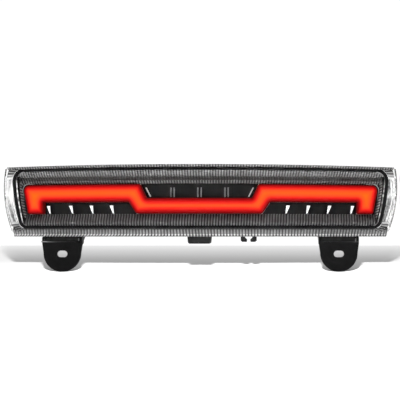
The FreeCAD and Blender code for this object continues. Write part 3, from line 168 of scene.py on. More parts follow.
M = {}
M["black"] = plastic("bezel_black", (0.0068, 0.0068, 0.0070, 1), 0.42, grain=700, bump=0.06, vary=0.3, spec=0.06)
M["housing"] = plastic("housing_black", (0.014, 0.014, 0.015, 1), 0.5, grain=1100, bump=0.25, vary=0.25, spec=0.25)
M["ear"] = plastic("bracket_black", (0.0056, 0.0056, 0.0058, 1), 0.36, grain=900, bump=0.08, vary=0.22, spec=0.03)
M["conn"] = plastic("connector_black", (0.0055, 0.0055, 0.0060, 1), 0.45, grain=1000, bump=0.15, vary=0.25, spec=0.12)
M["bead"] = plastic("bead_black", (0.0035, 0.0035, 0.0038, 1), 0.5, grain=500, bump=0.1, vary=0.3, spec=0.06)
M["rubber"] = plastic("rubber_black", (0.013, 0.013, 0.013, 1), 0.75, grain=600, bump=0.3, vary=0.2)
M["fins"] = plastic("bright_fins", (0.90, 0.90, 0.90, 1), 0.35, grain=500, bump=0.02, vary=0.04, metallic=0.1)
# fin strips: faces turned to the front are painted near white and glow, a painted highlight; all other faces are
# painted near black as painted shade
fin = M["fins"]
fn = fin.t.nodes.new("ShaderNodeTexCoord")
fs = fin.t.nodes.new("ShaderNodeSeparateXYZ")
fin.link(fn.outputs["Normal"], fs.inputs[0])
ff = fin.t.nodes.new("ShaderNodeMapRange")
ff.inputs["From Min"].default_value = -0.5
ff.inputs["From Max"].default_value = -0.95
fin.link(fs.outputs["Y"], ff.inputs["Value"])
fc = fin.t.nodes.new("ShaderNodeValToRGB")
fc.color_ramp.elements[0].color = (0.022, 0.022, 0.023, 1)
fc.color_ramp.elements[1].color = (0.92, 0.92, 0.92, 1)
fin.link(ff.outputs["Result"], fc.inputs["Fac"])
fin.link(fc.outputs["Color"], fin.b.inputs["Base Color"])
fin.link(fc.outputs["Color"], fin.b.inputs["Emission Color"])
fin.b.inputs["Emission Strength"].default_value = 0.35
# centre fins: an added glow as a painted highlight, dim within 40 mm of the middle and brighter further out
fin_mid = plastic("centre_fins_painted_glow", (0.10, 0.10, 0.10, 1), 0.3, grain=500, bump=0.02, vary=0.3, spec=0.2)
M["fins_mid"] = fin_mid
tc = fin_mid.t.nodes.new("ShaderNodeTexCoord")
sp = fin_mid.t.nodes.new("ShaderNodeSeparateXYZ")
fin_mid.link(tc.outputs["Object"], sp.inputs[0])
ab = fin_mid.t.nodes.new("ShaderNodeMath")
ab.operation = "ABSOLUTE"
fin_mid.link(sp.outputs["X"], ab.inputs[0])
gr = fin_mid.t.nodes.new("ShaderNodeValToRGB")
gr.color_ramp.interpolation = "CONSTANT"
gr.color_ramp.elements[0].color = (0.045, 0.045, 0.047, 1)
gr.color_ramp.elements[1].position = 0.4
gr.color_ramp.elements[1].color = (0.36, 0.34, 0.33, 1)
ms = fin_mid.t.nodes.new("ShaderNodeMapRange")
ms.inputs["From Max"].default_value = 0.1
fin_mid.link(ab.outputs["Value"], ms.inputs["Value"])
fin_mid.link(ms.outputs["Result"], gr.inputs["Fac"])
fin_mid.link(gr.outputs["Color"], fin_mid.b.inputs["Emission Color"])
fin_mid.b.inputs["Emission Strength"].default_value = 1.0
M["white"] = plastic("tray_white", (0.78, 0.78, 0.76, 1), 0.5, grain=700, bump=0.06, vary=0.04)
M["board"] = plastic("board_green", (0.012, 0.09, 0.035, 1), 0.35, grain=300, bump=0.12, vary=0.3)
M["led"] = plastic("led_body", (0.75, 0.66, 0.28, 1), 0.3, grain=400, bump=0.03, vary=0.08)
M["chip"] = plastic("chip_black", (0.012, 0.012, 0.013, 1), 0.55, grain=900, bump=0.2, vary=0.2)
M["zinc"] = plastic("zinc_plated", (0.55, 0.56, 0.56, 1), 0.32, grain=500, bump=0.06, vary=0.12, metallic=1.0)
M["can"] = plastic("capacitor_can", (0.68, 0.69, 0.71, 1), 0.28, grain=700, bump=0.05, vary=0.06, metallic=1.0)
M["tin"] = plastic("tinned_pins", (0.72, 0.68, 0.56, 1), 0.25, grain=500, bump=0.03, vary=0.08, metallic=1.0)
M["brass"] = plastic("insert_brass", (0.62, 0.44, 0.16, 1), 0.3, grain=900, bump=0.2, vary=0.1, metallic=1.0)
M["wire"] = plastic("wire_red", (0.20, 0.012, 0.010, 1), 0.42, grain=500, bump=0.05, vary=0.15)
M["membrane"] = plastic("membrane_white", (0.75, 0.75, 0.74, 1), 0.85, grain=1500, bump=0.4, vary=0.05)
M["lens"] = clear_plastic("lens_clear", (0.86, 0.88, 0.90, 1), 0.0, 0.22)

for node, key in {
    "outer_lens": "lens", "lens_seal": "bead", "rear_housing": "housing", "inner_bezel": "black",
    "light_bar_tray": "white", "bar_circuit_board": "board", "bar_leds": "led", "bar_resistors": "chip",
    "left_fin_strip": "fins", "right_fin_strip": "fins", "centre_fin_strip": "fins_mid", "bezel_screws": "zinc",
    "bezel_screw_seals": "rubber", "tray_screws": "zinc", "driver_board": "board", "driver_screws": "zinc",
    "driver_capacitors": "can", "driver_regulator": "chip", "driver_diode": "chip", "connector_shroud": "conn",
    "terminal_pins": "tin", "connector_seal": "rubber", "connector_screws": "zinc", "supply_wires": "wire",
    "bar_feed_wires": "wire", "left_mounting_bracket": "ear", "right_mounting_bracket": "ear",
    "bracket_screws": "zinc", "bracket_inserts": "brass", "harness_clip": "conn", "vent_membrane": "membrane",
    "vent_cap": "conn",
}.items():
    give_node(node, M[key])


# ----------------------------------------------------------------- light bar
def arc(cx, cz, rad, a0, a1, n):
    return [(cx + rad * math.cos(math.radians(a0 + (a1 - a0) * i / n)),
             cz + rad * math.sin(math.radians(a0 + (a1 - a0) * i / n))) for i in range(n + 1)]


def bar_mesh():
    """The lit bar as a ribbon of stations from the left leg to the right leg."""
    stations = []

    def run(b0, t0, b1, t1, step=1.6):
        n = max(int(math.dist(((b0[0] + t0[0]) / 2, (b0[1] + t0[1]) / 2),
                              ((b1[0] + t1[0]) / 2, (b1[1] + t1[1]) / 2)) / step), 1)
        for i in range(n):
            f = i / n
            stations.append(((b0[0] + (b1[0] - b0[0]) * f, b0[1] + (b1[1] - b0[1]) * f),
                             (t0[0] + (t1[0] - t0[0]) * f, t0[1] + (t1[1] - t0[1]) * f)))
    top, mid, under, low = 73.1, 58.8, 54.7, 42.4
    run((0, low), (0, mid), (64.1, low), (53.6, mid))
    # lower and upper bends of the step are eased
    for p, q in zip([(64.1, low), (65.6, low + 0.6), (66.7, low + 1.8)], [(53.6, mid), (54.7, mid + 0.5), (55.5, mid + 1.6)]):
        stations.append((p, q))
    run((67.3, low + 2.7), (55.9, mid + 2.5), (72.9, under - 1.2), (60.6, top - 2.0))
    for p, q in zip([(72.9, under - 1.2), (73.6, under - 0.4), (74.8, under)], [(60.6, top - 2.0), (61.3, top - 0.7), (62.7, top)]):
        stations.append((p, q))
    rad = 6.0
    cx, cz = 190.0 - rad - 1.0, top - rad
    run((76.2, under), (64.1, top), (166.2, under), (cx, top))
    corner = arc(cx, cz, rad, 90, -10.5, 16)
    for t in corner:
        stations.append(((166.2, under), t))
    run((166.2, under - 0.01), (corner[-1][0] - 0.05, corner[-1][1] - 0.3), (166.2, low + 2.4), (184.6, low + 2.9))
    for i in range(0, 9):
        a = i / 8 * math.pi / 2
        stations.append(((166.2 + 2.4 * (1 - math.cos(a)), low + 2.4 - 2.4 * math.sin(a)),
                         (184.6 - 3.2 * (1 - math.cos(a)), low + 2.9 - 2.9 * math.sin(a))))
    right = stations
    left = [((-b[0], b[1]), (-t[0], t[1])) for b, t in reversed(right[1:])]
    st = left + right
    outline = [b for b, t in st] + [t for b, t in reversed(st)]
    segs = []
    for i in range(len(outline)):
        p, q = outline[i], outline[(i + 1) % len(outline)]
        if math.dist(p, q) > 1e-6:
            segs.append((p, q))

    def edge_dist(p):
        best = 1e9
        for a, b in segs:
            dx, dz = b[0] - a[0], b[1] - a[1]
            t = ((p[0] - a[0]) * dx + (p[1] - a[1]) * dz) / (dx * dx + dz * dz)
            t = min(max(t, 0), 1)
            d = math.hypot(p[0] - a[0] - t * dx, p[1] - a[1] - t * dz)
            if d < best:
                best = d
        return best
    K = 18
    verts, heat, rows = [], [], []
    for b, t in st:
        row = []
        for k in range(K + 1):
            f = 0.5 - 0.5 * math.cos(math.pi * k / K)
            p = (b[0] + (t[0] - b[0]) * f, b[1] + (t[1] - b[1]) * f)
            d = edge_dist(p)
            c = min(d / 3.2, 1.0)
            off = 7.0 + 3.2 * (1 - math.sqrt(max(1 - (1 - c) ** 2, 0.0)))
            row.append(len(verts))
            verts.append((p[0], bow_y(p[0], off), p[1]))
            ax = abs(p[0])
            w = min(max((ax - 48.0) / 22.0, 0.0), 1.0)
            heat.append(d * (0.86 + 0.14 * w * w * (3 - 2 * w)))
        rows.append(row)
    faces = []
    for i in range(len(rows) - 1):
        for k in range(K):
            faces.append((rows[i][k], rows[i + 1][k], rows[i + 1][k + 1], rows[i][k + 1]))
    loop = [r[0] for r in rows] + [rows[-1][k] for k in range(1, K)] + [r[K] for r in reversed(rows)] \
        + [rows[0][k] for k in range(K - 1, 0, -1)]
    prev = loop
    for off in (12.0, 17.0, 19.9):
        ring = []
        for v in loop:
            x, _, z = verts[v]
            ring.append(len(verts))
            verts.append((x, bow_y(x, off), z))
            heat.append(0.0)
        n = len(loop)
        for i in range(n):
            j = (i + 1) % n
            faces.append((prev[j], prev[i], ring[i], ring[j]))
        prev = ring
    return verts, faces, heat


bv, bf, bh = bar_mesh()
bar = new_object("light_bar_lit", bv, bf, replaces=("light_bar_diffuser",))
bm = bmesh.new()
bm.from_mesh(bar.data)
bmesh.ops.recalc_face_normals(bm, faces=bm.faces)
bm.to_mesh(bar.data)
bm.free()
att = bar.data.attributes.new("edge_distance", "FLOAT", "POINT")
for i, h in enumerate(bh):
    att.data[i].value = h / 11.0

w = Mat("lit_red_bar")
a = w.t.nodes.new("ShaderNodeAttribute")
a.attribute_name = "edge_distance"
ramp = w.t.nodes.new("ShaderNodeValToRGB")
cr = ramp.color_ramp
stops = [(0.0, (74, 8, 8)), (0.8, (118, 8, 10)), (1.85, (158, 5, 8)), (2.85, (204, 15, 17)), (3.9, (238, 29, 26)),
         (4.95, (254, 48, 32)), (6.0, (255, 72, 35)), (7.0, (255, 86, 35)), (8.6, (255, 96, 30)), (10.6, (255, 107, 22))]
cr.elements[0].position, cr.elements[0].color = 0.0, srgb(*stops[0][1])
cr.elements[1].position, cr.elements[1].color = stops[-1][0] / 11.0, srgb(*stops[-1][1])
for pos, c in stops[1:-1]:
    e = cr.elements.new(pos / 11.0)
    e.color = srgb(*c)
w.link(a.outputs["Fac"], ramp.inputs["Fac"])
w.link(ramp.outputs["Color"], w.b.inputs["Emission Color"])
w.b.inputs["Emission Strength"].default_value = 1.0
n = w.node("ShaderNodeTexNoise", Scale=90.0, Detail=3.0)
w.link(w.coords(), n.inputs["Vector"])
r2 = w.t.nodes.new("ShaderNodeValToRGB")
r2.color_ramp.elements[0].color = (0.012, 0.0008, 0.0006, 1)
r2.color_ramp.elements[1].color = (0.02, 0.0012, 0.0010, 1)
w.link(n.outputs["Fac"], r2.inputs["Fac"])
w.link(r2.outputs["Color"], w.b.inputs["Base Color"])
mr = w.t.nodes.new("ShaderNodeMapRange")
mr.inputs["To Min"].default_value = 0.34
mr.inputs["To Max"].default_value = 0.5
w.link(n.outputs["Fac"], mr.inputs["Value"])
w.link(mr.outputs["Result"], w.b.inputs["Roughness"])
w.b.inputs["Specular IOR Level"].default_value = 0.02
give(bar, w)


# ------------------------------------------------------- fluted, toned pieces
TONE_GAIN = 1.0


def tone_material(name, alpha=1.0, glow=0.0, rough=0.35, spec=0.3):
    """Moulded flutes and other toned strips: the tone on the mesh is painted highlight and painted shade, broken up by
    fine streaks; glow makes the tone shine as painted light.
    """
    w = Mat(name)
    a = w.t.nodes.new("ShaderNodeAttribute")
    a.attribute_name = "tone"
    n = w.node("ShaderNodeTexNoise", Scale=160.0, Detail=3.0, Roughness=0.7)
    w.link(w.coords((1, 1, 0.5)), n.inputs["Vector"])
    mr = w.t.nodes.new("ShaderNodeMapRange")
    mr.inputs["From Min"].default_value = 0.3
    mr.inputs["From Max"].default_value = 0.7
    mr.inputs["To Min"].default_value = 0.78
    mr.inputs["To Max"].default_value = 1.2
    w.link(n.outputs["Fac"], mr.inputs["Value"])
    vm = w.t.nodes.new("ShaderNodeVectorMath")
    vm.operation = "SCALE"
    w.link(a.outputs["Color"], vm.inputs[0])
    w.link(mr.outputs["Result"], vm.inputs["Scale"])
    w.link(vm.outputs["Vector"], w.b.inputs["Base Color"])
    if glow:
        w.link(vm.outputs["Vector"], w.b.inputs["Emission Color"])
        w.b.inputs["Emission Strength"].default_value = glow
    n2 = w.node("ShaderNodeTexNoise", Scale=500.0, Detail=2.0)
    w.link(w.coords(), n2.inputs["Vector"])
    bp = w.node("ShaderNodeBump", Strength=0.05, Distance=0.0002)
    w.link(n2.outputs["Fac"], bp.inputs["Height"])
    w.link(bp.outputs["Normal"], w.b.inputs["Normal"])
    w.b.inputs["Roughness"].default_value = rough
    w.b.inputs["Specular IOR Level"].default_value = spec
    w.b.inputs["Alpha"].default_value = alpha
    return w


def lin(v):
    return srgb(v, v, v)[0] * TONE_GAIN


def toned_grid(name, grid, tones, mat, thick=0.7, wrap=False):
    """grid[i][j] points in mm; tones[i][j] 0-255."""
    verts, faces, tone = [], [], []
    idx = []
    for gi, ti in zip(grid, tones):
        row = []
        for p, t in zip(gi, ti):
            row.append(len(verts))
            verts.append(p)
            tone.append(lin(t))
        idx.append(row)
    for i in range(len(idx) - 1):
        for j in range(len(idx[i]) - 1):
            faces.append((idx[i][j], idx[i + 1][j], idx[i + 1][j + 1], idx[i][j + 1]))
    ob = new_object(name, verts, faces, smooth=True)
    at = ob.data.attributes.new("tone", "FLOAT_COLOR", "POINT")
    for i, t in enumerate(tone):
        at.data[i].color = (t, t, t, 1.0)
    if thick:
        sol = ob.modifiers.new("thick", "SOLIDIFY")
        sol.thickness = thick * MM
        sol.offset = -1.0
    give(ob, mat)
    return ob


def wob(i, k):
    v = math.sin(i * 12.9898 + k * 78.233) * 43758.5453
    return v - math.floor(v)


def side_x(z, b, zb, t, zt, rad):
    """x of a bulged side line through (b, zb) and (t, zt)."""
    f = (z - zb) / (zt - zb)
    chord = math.hypot(t - b, zt - zb)
    d = (f - 0.5) * chord
    sag = math.sqrt(max(rad * rad - d * d, 0)) - math.sqrt(rad * rad - chord * chord / 4)
    return b + (t - b) * f + sag


def inner_limit(z):
    """Half width of the opening inside the bead at height z, with its rounded corners."""
    lim = side_x(min(max(z, 28.4), 88.9), 189.0, 28.4, 198.9, 88.9, 190.0) - 1.9
    for cx, cz, rad, up in ((187.3, 77.9, 9.2, 1), (183.6, 36.4, 6.3, -1)):
        dz = (z - cz) * up
        if dz > 0:
            lim = min(lim, cx + math.sqrt(max(rad * rad - dz * dz, 0.0)))
    return lim


def flutes(name, path, half, pitch, amp, mat, low, high, z_shift=None, samples=6, thick=0.7, jitter=0.26,
           skew=0.0, clamp=None):
    """A strip along the bow with flutes across it, toned with painted highlights and painted shade. path: (offset, z,
    tone factor) from one long edge to the other.
    """
    n = int(round(2 * half / pitch)) * samples
    grid, tones = [], []
    for i in range(n + 1):
        u = -half + 2 * half * i / n
        cell = math.floor(u / pitch)
        col, tc = [], []
        m = len(path)
        for j, (off, z, tf) in enumerate(path):
            f = j / (m - 1)
            x = u - f * (skew(u) if callable(skew) else skew * max(-1.0, min(1.0, u / 120.0)))
            if clamp:
                x = max(min(x, clamp(z)), -clamp(z))
            ph = (u / pitch) % 1.0
            c = 0.5 - 0.5 * math.cos(2 * math.pi * ph)
            h = amp * c
            p0, p1 = path[max(j - 1, 0)], path[min(j + 1, m - 1)]
            do, dz = p1[0] - p0[0], p1[1] - p0[1]
            k = math.hypot(do, dz) or 1.0
            no, nz = -abs(dz) / k, (do / k if dz < 0 else -do / k)
            zz = z + (z_shift(x, f) if z_shift else 0.0)
            col.append((x, bow_y(x, off + no * h), zz - nz * h * 0.5))
            # painted highlight on each flute's crest and painted shade in its valley
            shade = low + (high - low) * c ** 1.3
            shade *= 1 + jitter * (wob(cell, 1) - 0.5) * 0.5
            tc.append(max(min(shade * tf, 255), 2))
        grid.append(col)
        tones.append(tc)
    return toned_grid(name, grid, tones, mat, thick)


# each tone material carries painted highlights and painted shade; the bezel side one also glows as painted light
RIB_IN = tone_material("bezel_flutes", rough=0.36, spec=0.25)
RIB_OUT = tone_material("lens_flutes", rough=0.3, spec=0.3)
SIDE_CLEAR = tone_material("lens_side_painted_reflections", alpha=0.85, rough=0.3, spec=0.1)
EDGE_LINE = tone_material("lens_edge_shade", alpha=0.8, rough=0.4, spec=0.1)
SIDE_WALL = tone_material("bezel_side_shine", rough=0.3, glow=0.25, spec=0.2)


def loop_arch(x, f=0):
    return -(x * x) / 56400.0


def lens_arch(x, f=0):
    return -(x * x) / 39000.0


# upper wall of the bezel: flutes with painted highlights, a step in painted shade, then a second row with painted
# highlights
flutes("bezel_top_flutes", [(4.5, 87.7, 1.06), (4.6, 86.6, 1.02), (4.8, 84.6, 0.96), (6.2, 82.6, 0.95), (7.0, 81.5, 0.86)],
       201.0, 2.9, 0.5, RIB_IN, 3, 122, z_shift=lambda x, f: loop_arch(x) * (1 - f), clamp=inner_limit,
       skew=2.0)
flutes("bezel_step_flutes", [(7.1, 81.5, 0.9), (8.7, 79.9, 0.72), (10.5, 78.2, 0.76), (11.1, 77.5, 1.0)],
       200.0, 2.9, 0.9, RIB_IN, 2, 66, clamp=inner_limit, skew=1.4)
flutes("bezel_inner_flutes", [(11.1, 77.5, 0.98), (12.3, 76.3, 1.0), (13.7, 74.9, 1.0), (14.7, 73.9, 0.95)],
       195.0, 2.9, 0.5, RIB_IN, 3, 118, skew=1.4,
       z_shift=lambda x, f: 0.75 * f * min(max((62.0 - abs(x)) / 16.0, 0.0), 1.0))
flutes("bezel_low_flutes", [(4.5, 29.8, 1.14), (4.6, 31.2, 0.98), (4.8, 32.4, 1.0), (6.4, 34.2, 0.98), (10.2, 37.2, 0.96),
                            (14.0, 40.2, 0.95), (15.2, 41.7, 0.98), (15.3, 42.2, 1.1)],
       190.5, 2.9, 0.5, RIB_IN, 9, 114, clamp=inner_limit, skew=-2.0)
# margins of the lens above and below the bead: flutes with painted highlights and painted shade; the lower margin
# starts in painted shade behind the bead and brightens to a painted highlight near its foot
flutes("lens_top_flutes", [(1.4, 93.25, 1.0), (1.6, 92.4, 1.1), (2.0, 91.6, 1.02), (2.4, 90.8, 0.85)],
       206.0, 2.9, 0.35, RIB_OUT, 3, 118, z_shift=lambda x, f: lens_arch(x), skew=1.0)
flutes("lens_low_flutes", [(3.0, 27.5, 0.1), (3.05, 26.5, 0.12), (3.1, 26.3, 0.86), (4.6, 25.0, 0.98), (7.2, 23.4, 1.0), (9.6, 22.0, 1.1), (10.8, 21.4, 1.75),
                           (11.4, 21.0, 1.95), (11.9, 20.6, 1.4), (12.4, 20.1, 1.05), (13.2, 19.0, 1.2)],
       199.0, 3.2, 0.6, RIB_OUT, 6, 118,
       skew=lambda u: 4.6 * min(max((-u - 10.0) / 90.0, 0.0), 1.0) * min(1.0, (205.0 + u) / 14.0) if u < 0 else 0.0)


# ---------------------------------------------------- ends of the lens and bezel
def lens_x(z):
    return side_x(z, 197.6, 18.5, 208.2, 92.3, 120.0)


def loop_x(z):
    return side_x(z, 189.0, 28.4, 198.9, 88.9, 190.0)


def bar_x(z):
    return 184.0 + (z - 42.5) * 5.8 / 30.5


def corner_fan(name, s, inner, outer, n_ribs, tone_lo, tone_hi, fade):
    """Flutes that fan round a corner of the lens margin, toned with painted highlights and painted shade and faded
    towards near white by fade; inner and outer are matching point lists.
    """
    grid, tones = [], []
    per = 6
    n = n_ribs * per
    for i in range(n + 1):
        k = i / n * (len(inner) - 1)
        j = min(int(k), len(inner) - 2)
        f = k - j
        p = [inner[j][a] + (inner[j + 1][a] - inner[j][a]) * f for a in (0, 1)]
        q = [outer[j][a] + (outer[j + 1][a] - outer[j][a]) * f for a in (0, 1)]
        c = 0.5 - 0.5 * math.cos(2 * math.pi * (i / per % 1.0))
        g = fade(i / n)
        col, tc = [], []
        for m in range(5):
            h = m / 4
            x, z = p[0] + (q[0] - p[0]) * h, p[1] + (q[1] - p[1]) * h
            col.append((s * x, bow_y(x, 2.3 - 0.3 * c), z))
            t = tone_lo + (tone_hi - tone_lo) * c ** 1.3 * (0.8 + 0.4 * wob(i // per, 3))
            tc.append(min(t + (246 - t) * g, 250))
        grid.append(col)
        tones.append(tc)
    toned_grid(name, grid, tones, RIB_OUT, thick=0.0)


for s, side in ((-1, "left"), (1, "right")):
    inner = arc(187.9, 77.9, 12.6, 90, 8, 10)
    outer = [(190.5, 91.2), (194.5, 91.2), (198.0, 91.2), (201.5, 91.0), (204.0, 90.2), (205.2, 88.6), (205.9, 86.6),
             (206.3, 84.6), (206.6, 82.6), (206.8, 80.6), (206.9, 78.8)]
    corner_fan(side + "_lens_top_corner", s, inner, outer, 6, 4, 132, lambda k: 0.8 * max(0.0, (k - 0.62) / 0.38) ** 0.8)
    inner = arc(183.6, 36.4, 9.7, -90, -14, 10)
    outer = [(186.5, 24.6), (189.5, 24.4), (192.4, 24.2), (195.0, 24.4), (196.8, 25.2), (197.9, 26.4), (198.6, 27.8),
             (199.2, 29.4), (199.8, 31.0), (200.3, 32.6), (200.8, 34.4)]
    corner_fan(side + "_lens_low_corner", s, inner, outer, 5, 6, 132, lambda k: 0.6 * max(0.0, (k - 0.7) / 0.3) ** 0.8)
    # clear margin: short bright and dark flutes crossing it as painted reflections, heavier on the lower half
    grid, tones = [], []
    n = 110
    for i in range(n + 1):
        z = 29.5 + (81.0 - 29.5) * i / n
        xo, xi = lens_x(z) - 1.2, loop_x(z) + 1.7
        col, tc = [], []
        m = 12
        mid = 1.0 - abs((z - 63.0) / 22.0) if s < 0 else 0.75 - abs((z - 62.0) / 12.0)
        mid = min(max(mid, 0.0), 1.0)
        for j in range(m + 1):
            f = j / m
            x = xo + (xi - xo) * f
            col.append((s * x, bow_y(x, 2.7 + 0.25 * (j % 2)), z))
            q = j + (i - 55) * (0.045 if z < 62 else -0.07)
            w0, w1 = wob(math.floor(q), 4 + s), wob(math.floor(q) + 1, 4 + s)
            sm = q - math.floor(q)
            line = (w0 * (1 - sm) + w1 * sm) ** 1.5
            fine = wob(i // 4, j + 3 * s)
            depth = (0.25 + 0.75 * (1 - mid)) * (1.0 if z < 60 or s > 0 else 0.75)
            t = 250 - 200 * depth * line - 90 * depth * fine ** 2
            if j == m:
                t = min(t, 170)
            tc.append(max(t, 30))
        grid.append(col)
        tones.append(tc)
    toned_grid(side + "_lens_painted_reflections", grid, tones, SIDE_CLEAR, thick=0.0)
    # thin shaded line where the end wall of the lens turns away
    grid, tones = [], []
    n = 120
    for i in range(n + 1):
        z = 24.0 + (90.6 - 24.0) * i / n
        k = i / n
        dark = 20 + 90 * wob(i // 2, 7 + s)
        width = 1.0 + 0.5 * wob(i // 3, 9 + s)
        if k > 0.88:
            dark, width = 10 + 40 * wob(i, 3), 2.0
        elif k > 0.6:
            dark, width = 12 + 80 * wob(i // 2, 3), 1.3
        elif 0.48 < k:
            dark, width = 6 + 90 * wob(i // 2, 5 + s), 2.2 * (0.4 + wob(i // 2, 6))
        elif k > 0.4:
            dark = 110
        elif k < 0.07:
            dark = 150
        xo = lens_x(z) - 0.25
        grid.append([(s * xo, bow_y(xo, 0.7), z), (s * (xo - width), bow_y(xo - width, 0.35), z)])
        tones.append([dark, min(dark + 25, 250)])
    toned_grid(side + "_lens_edge_line", grid, tones, EDGE_LINE, thick=0.0)
    # end wall of the bezel: a painted highlight beside the bead falling to black at the bar, striped with painted
    # highlights, in a material that glows a little
    grid, tones = [], []
    n = 100
    for i in range(n + 1):
        z = 33.5 + (83.5 - 33.5) * i / n
        k = i / n
        x0 = loop_x(z) - 1.75
        x1 = bar_x(max(z, 42.5)) + 1.6
        fade = min(1.0, (1 - k) / 0.16, 1.0) if k > 0.84 else 1.0
        prof = [(0.0, 5.4, 236), (0.17, 6.0, 242), (0.26, 7.2, 150), (0.40, 8.8, 96), (0.52, 10.6, 52), (0.66, 12.4, 30),
                (0.82, 14.2, 24), (1.0, 15.9, 34)]
        if s > 0:
            prof = [(0.0, 5.4, 176), (0.2, 6.0, 190), (0.34, 7.2, 158), (0.5, 8.8, 124), (0.66, 10.6, 96), (0.8, 12.4, 60),
                    (0.9, 14.2, 40), (1.0, 15.9, 30)]
        col, tc = [], []
        for f, off, t in prof:
            x = x0 + (x1 - x0) * f
            off = min(max(off - 0.9, 4.5), max(5.2 + (83.9 - z) / 0.954 - 0.9, 4.5), max(5.2 + (z - 32.6) / 0.778 - 0.9, 4.5))
            col.append((s * x, bow_y(x, off), z))
            rib = 0.5 - 0.5 * math.cos(2 * math.pi * (i / 6.0 + f * 0.9))
            base = 20 + (t - 20) * (0.35 + 0.65 * fade)
            if f > 0.2:
                base = max(base, 92.0 if f < 0.7 else 34.0) * (0.3 + 1.2 * rib)
            else:
                base = base * (0.45 + 0.6 * wob(i // 5, 11 + s))
            tc.append(base * (0.9 + 0.2 * wob(i // 4, f * 9)))
        grid.append(col)
        tones.append(tc)
    toned_grid(side + "_bezel_end_wall", grid, tones, SIDE_WALL, thick=0.0)
    # painted highlight along the lip of the bar opening round the bar's outer top corner
    grid, tones = [], []
    path = [(177.2, 74.1)] + arc(183.0, 67.2, 6.95, 90, -8, 12) + [(189.2, 62.0), (188.4, 57.0)]
    for i, (x, z) in enumerate(path):
        k = i / (len(path) - 1)
        nx, nz = (0, 1) if i == 0 else ((1, 0.1) if i > 12 else (x - 183.0, z - 67.2))
        ln = math.hypot(nx, nz)
        nx, nz = nx / ln, nz / ln
        wd = 0.95 * math.sin(math.pi * min(max(k, 0.04), 0.96)) ** 0.5
        grid.append([(s * x, bow_y(x, 9.4), z), (s * (x + nx * wd), bow_y(x, 9.9), z + nz * wd)])
        tones.append([120, 165])
    toned_grid(side + "_bar_lip_highlight", grid, tones, SIDE_WALL, thick=0.0)

# painted sheen and highlight lines on the crease and the side walls of the ears' pockets
EAR_SHEEN = tone_material("bracket_sheen", rough=0.4, spec=0.05)


def sheen(name, cols):
    """cols: (x, z low, z high, y, tone low, tone high) from one end to the other."""
    grid, tones = [], []
    for x, z0, z1, y, t0, t1 in cols:
        grid.append([(x, y, z0), (x, y, (z0 + z1) / 2), (x, y, z1)])
        tones.append([t0, max(t0, t1), t1])
    toned_grid(name, grid, tones, EAR_SHEEN, thick=0.0)


sheen("left_bracket_crease", [(-170.0, 12.4, 13.7, -3.06, 84, 150), (-166.0, 12.3, 13.5, -3.06, 76, 140),
                              (-162.0, 12.3, 13.3, -3.06, 60, 112), (-157.0, 12.3, 13.2, -3.06, 44, 84),
                              (-150.0, 12.4, 13.1, -3.06, 34, 60), (-140.0, 12.4, 13.0, -3.06, 30, 44),
                              (-131.0, 12.4, 13.0, -3.06, 30, 40)])
sheen("left_bracket_wall_shine", [(-170.3, 13.4, 17.0, 1.5, 120, 120), (-168.4, 13.4, 15.6, 1.6, 112, 84),
                                  (-166.4, 13.4, 14.2, 1.7, 96, 60)])
sheen("left_bracket_wall_line", [(-131.6, 13.2, 16.6, 1.5, 84, 96), (-130.2, 13.2, 16.6, 1.5, 84, 96)])
sheen("right_bracket_wall_line", [(127.0, 13.2, 16.6, 1.5, 84, 92), (128.3, 13.2, 16.6, 1.5, 84, 92)])
sheen("right_bracket_wall_shine", [(165.4, 13.2, 16.8, 1.5, 110, 100), (167.0, 13.2, 16.8, 1.5, 140, 130),
                                   (168.8, 13.2, 16.8, 1.5, 120, 112)])
sheen("right_bracket_crease", [(128.0, 12.4, 13.0, -3.06, 30, 46), (148.0, 12.4, 13.0, -3.06, 30, 44),
                               (160.0, 12.4, 13.1, -3.06, 34, 52), (168.6, 12.4, 13.2, -3.06, 50, 84)])

# painted sheen that lifts the shaded back face of each ear's pocket
for s, side, a0, a1 in ((-1, "left", -166.2, -132.2), (1, "right", 129.0, 165.2)):
    sheen(side + "_bracket_pocket_face", [(a0 + (a1 - a0) * i / 8, 13.5, 17.9, 2.0, 36 - 4 * (i % 2), 27) for i in range(9)])

# ------------------------------------------------------------- camera, floor
cam_data = bpy.data.cameras.new("camera")
cam = bpy.data.objects.new("camera", cam_data)
scene.collection.objects.link(cam)
cam.location = (0.0556, -0.900, 0.0212)
cam.rotation_euler = (math.radians(90 + 2.32), 0, 0)
cam_data.sensor_width = 36
cam_data.lens = 36 * 840 / 400.0
cam_data.shift_x = -0.1318
cam_data.clip_start = 0.01
cam_data.clip_end = 50
scene.camera = cam

floor_z = -0.0191
me = bpy.data.meshes.new("floor")
me.from_pydata([(-6, -3, floor_z), (6, -3, floor_z), (6, 2.07, floor_z), (-6, 2.07, floor_z)], [], [(0, 1, 2, 3)])
floor = bpy.data.objects.new("floor", me)
scene.collection.objects.link(floor)
fm = Mat("floor_painted_shadow_grade")
tc = fm.t.nodes.new("ShaderNodeTexCoord")
sp = fm.t.nodes.new("ShaderNodeSeparateXYZ")
fm.link(tc.outputs["Object"], sp.inputs[0])
# floor colour darker near the lamp and paler further back: painted shade that deepens the cast shadow close to the
# lamp
mr = fm.t.nodes.new("ShaderNodeMapRange")
mr.inputs["From Min"].default_value = 0.1
mr.inputs["From Max"].default_value = 2.4
fm.link(sp.outputs["Y"], mr.inputs["Value"])
fr = fm.t.nodes.new("ShaderNodeValToRGB")
fe = fr.color_ramp
fe.elements[0].position, fe.elements[0].color = 0.0, (0.285, 0.285, 0.285, 1)
fe.elements[1].position, fe.elements[1].color = 0.85, (0.9, 0.9, 0.9, 1)
for p_, c_ in ((0.12, 0.355), (0.3, 0.55), (0.55, 0.745)):
    e = fe.elements.new(p_)
    e.color = (c_, c_, c_, 1)
fm.link(mr.outputs["Result"], fr.inputs["Fac"])
n = fm.node("ShaderNodeTexNoise", Scale=6.0, Detail=2.0)
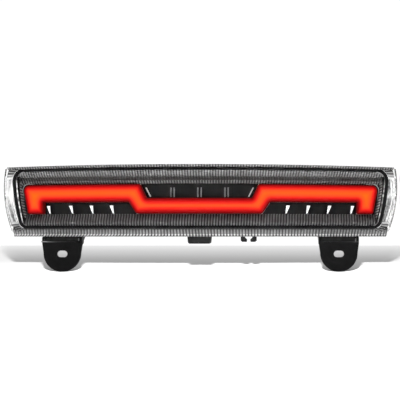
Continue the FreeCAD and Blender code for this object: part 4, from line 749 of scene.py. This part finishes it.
fm.link(tc.outputs["Object"], n.inputs["Vector"])
bp = fm.node("ShaderNodeBump", Strength=0.01, Distance=0.0005)
fm.link(n.outputs["Fac"], bp.inputs["Height"])
fm.link(bp.outputs["Normal"], fm.b.inputs["Normal"])
fm.link(fr.outputs["Color"], fm.b.inputs["Base Color"])
fm.b.inputs["Roughness"].default_value = 0.9
fm.b.inputs["Specular IOR Level"].default_value = 0.0
give(floor, fm)

# ------------------------------------------------------------------- lights
world = bpy.data.worlds.new("studio")
scene.world = world
world.use_nodes = True
wt = world.node_tree
bg = wt.nodes["Background"]
tc = wt.nodes.new("ShaderNodeTexCoord")
sep = wt.nodes.new("ShaderNodeSeparateXYZ")
wt.links.new(tc.outputs["Generated"], sep.inputs[0])
mr = wt.nodes.new("ShaderNodeMapRange")
mr.interpolation_type = "SMOOTHSTEP"
mr.inputs["From Min"].default_value = -0.75
mr.inputs["From Max"].default_value = 0.15
mr.inputs["To Min"].default_value = 0.7
mr.inputs["To Max"].default_value = 1.05
wt.links.new(sep.outputs["Y"], mr.inputs["Value"])
wt.links.new(mr.outputs["Result"], bg.inputs["Color"])
bg.inputs["Strength"].default_value = 1.0


def area(name, loc, target, size, energy, size_y=None):
    ld = bpy.data.lights.new(name, "AREA")
    ld.shape = "RECTANGLE"
    ld.size, ld.size_y = size, size_y or size
    ld.energy = energy
    lo = bpy.data.objects.new(name, ld)
    scene.collection.objects.link(lo)
    lo.location = loc
    d = Vector(target) - Vector(loc)
    lo.rotation_euler = d.to_track_quat("-Z", "Y").to_euler()
    return lo


key = area("key_low", (0.045, -0.86, 0.1215), (0, 0.6, 0.0), 0.016, 230.0, 0.006)
only_floor = bpy.data.collections.new("floor_light")
only_floor.objects.link(floor)
key.light_linking.receiver_collection = only_floor
area("top_soft", (0.0, -0.45, 1.1), (0, 0, 0.05), 1.2, 5.0, 0.5)

scene.view_settings.view_transform = "Standard"
scene.view_settings.look = "None"
scene.view_settings.exposure = 0.0
scene.view_settings.gamma = 1.0

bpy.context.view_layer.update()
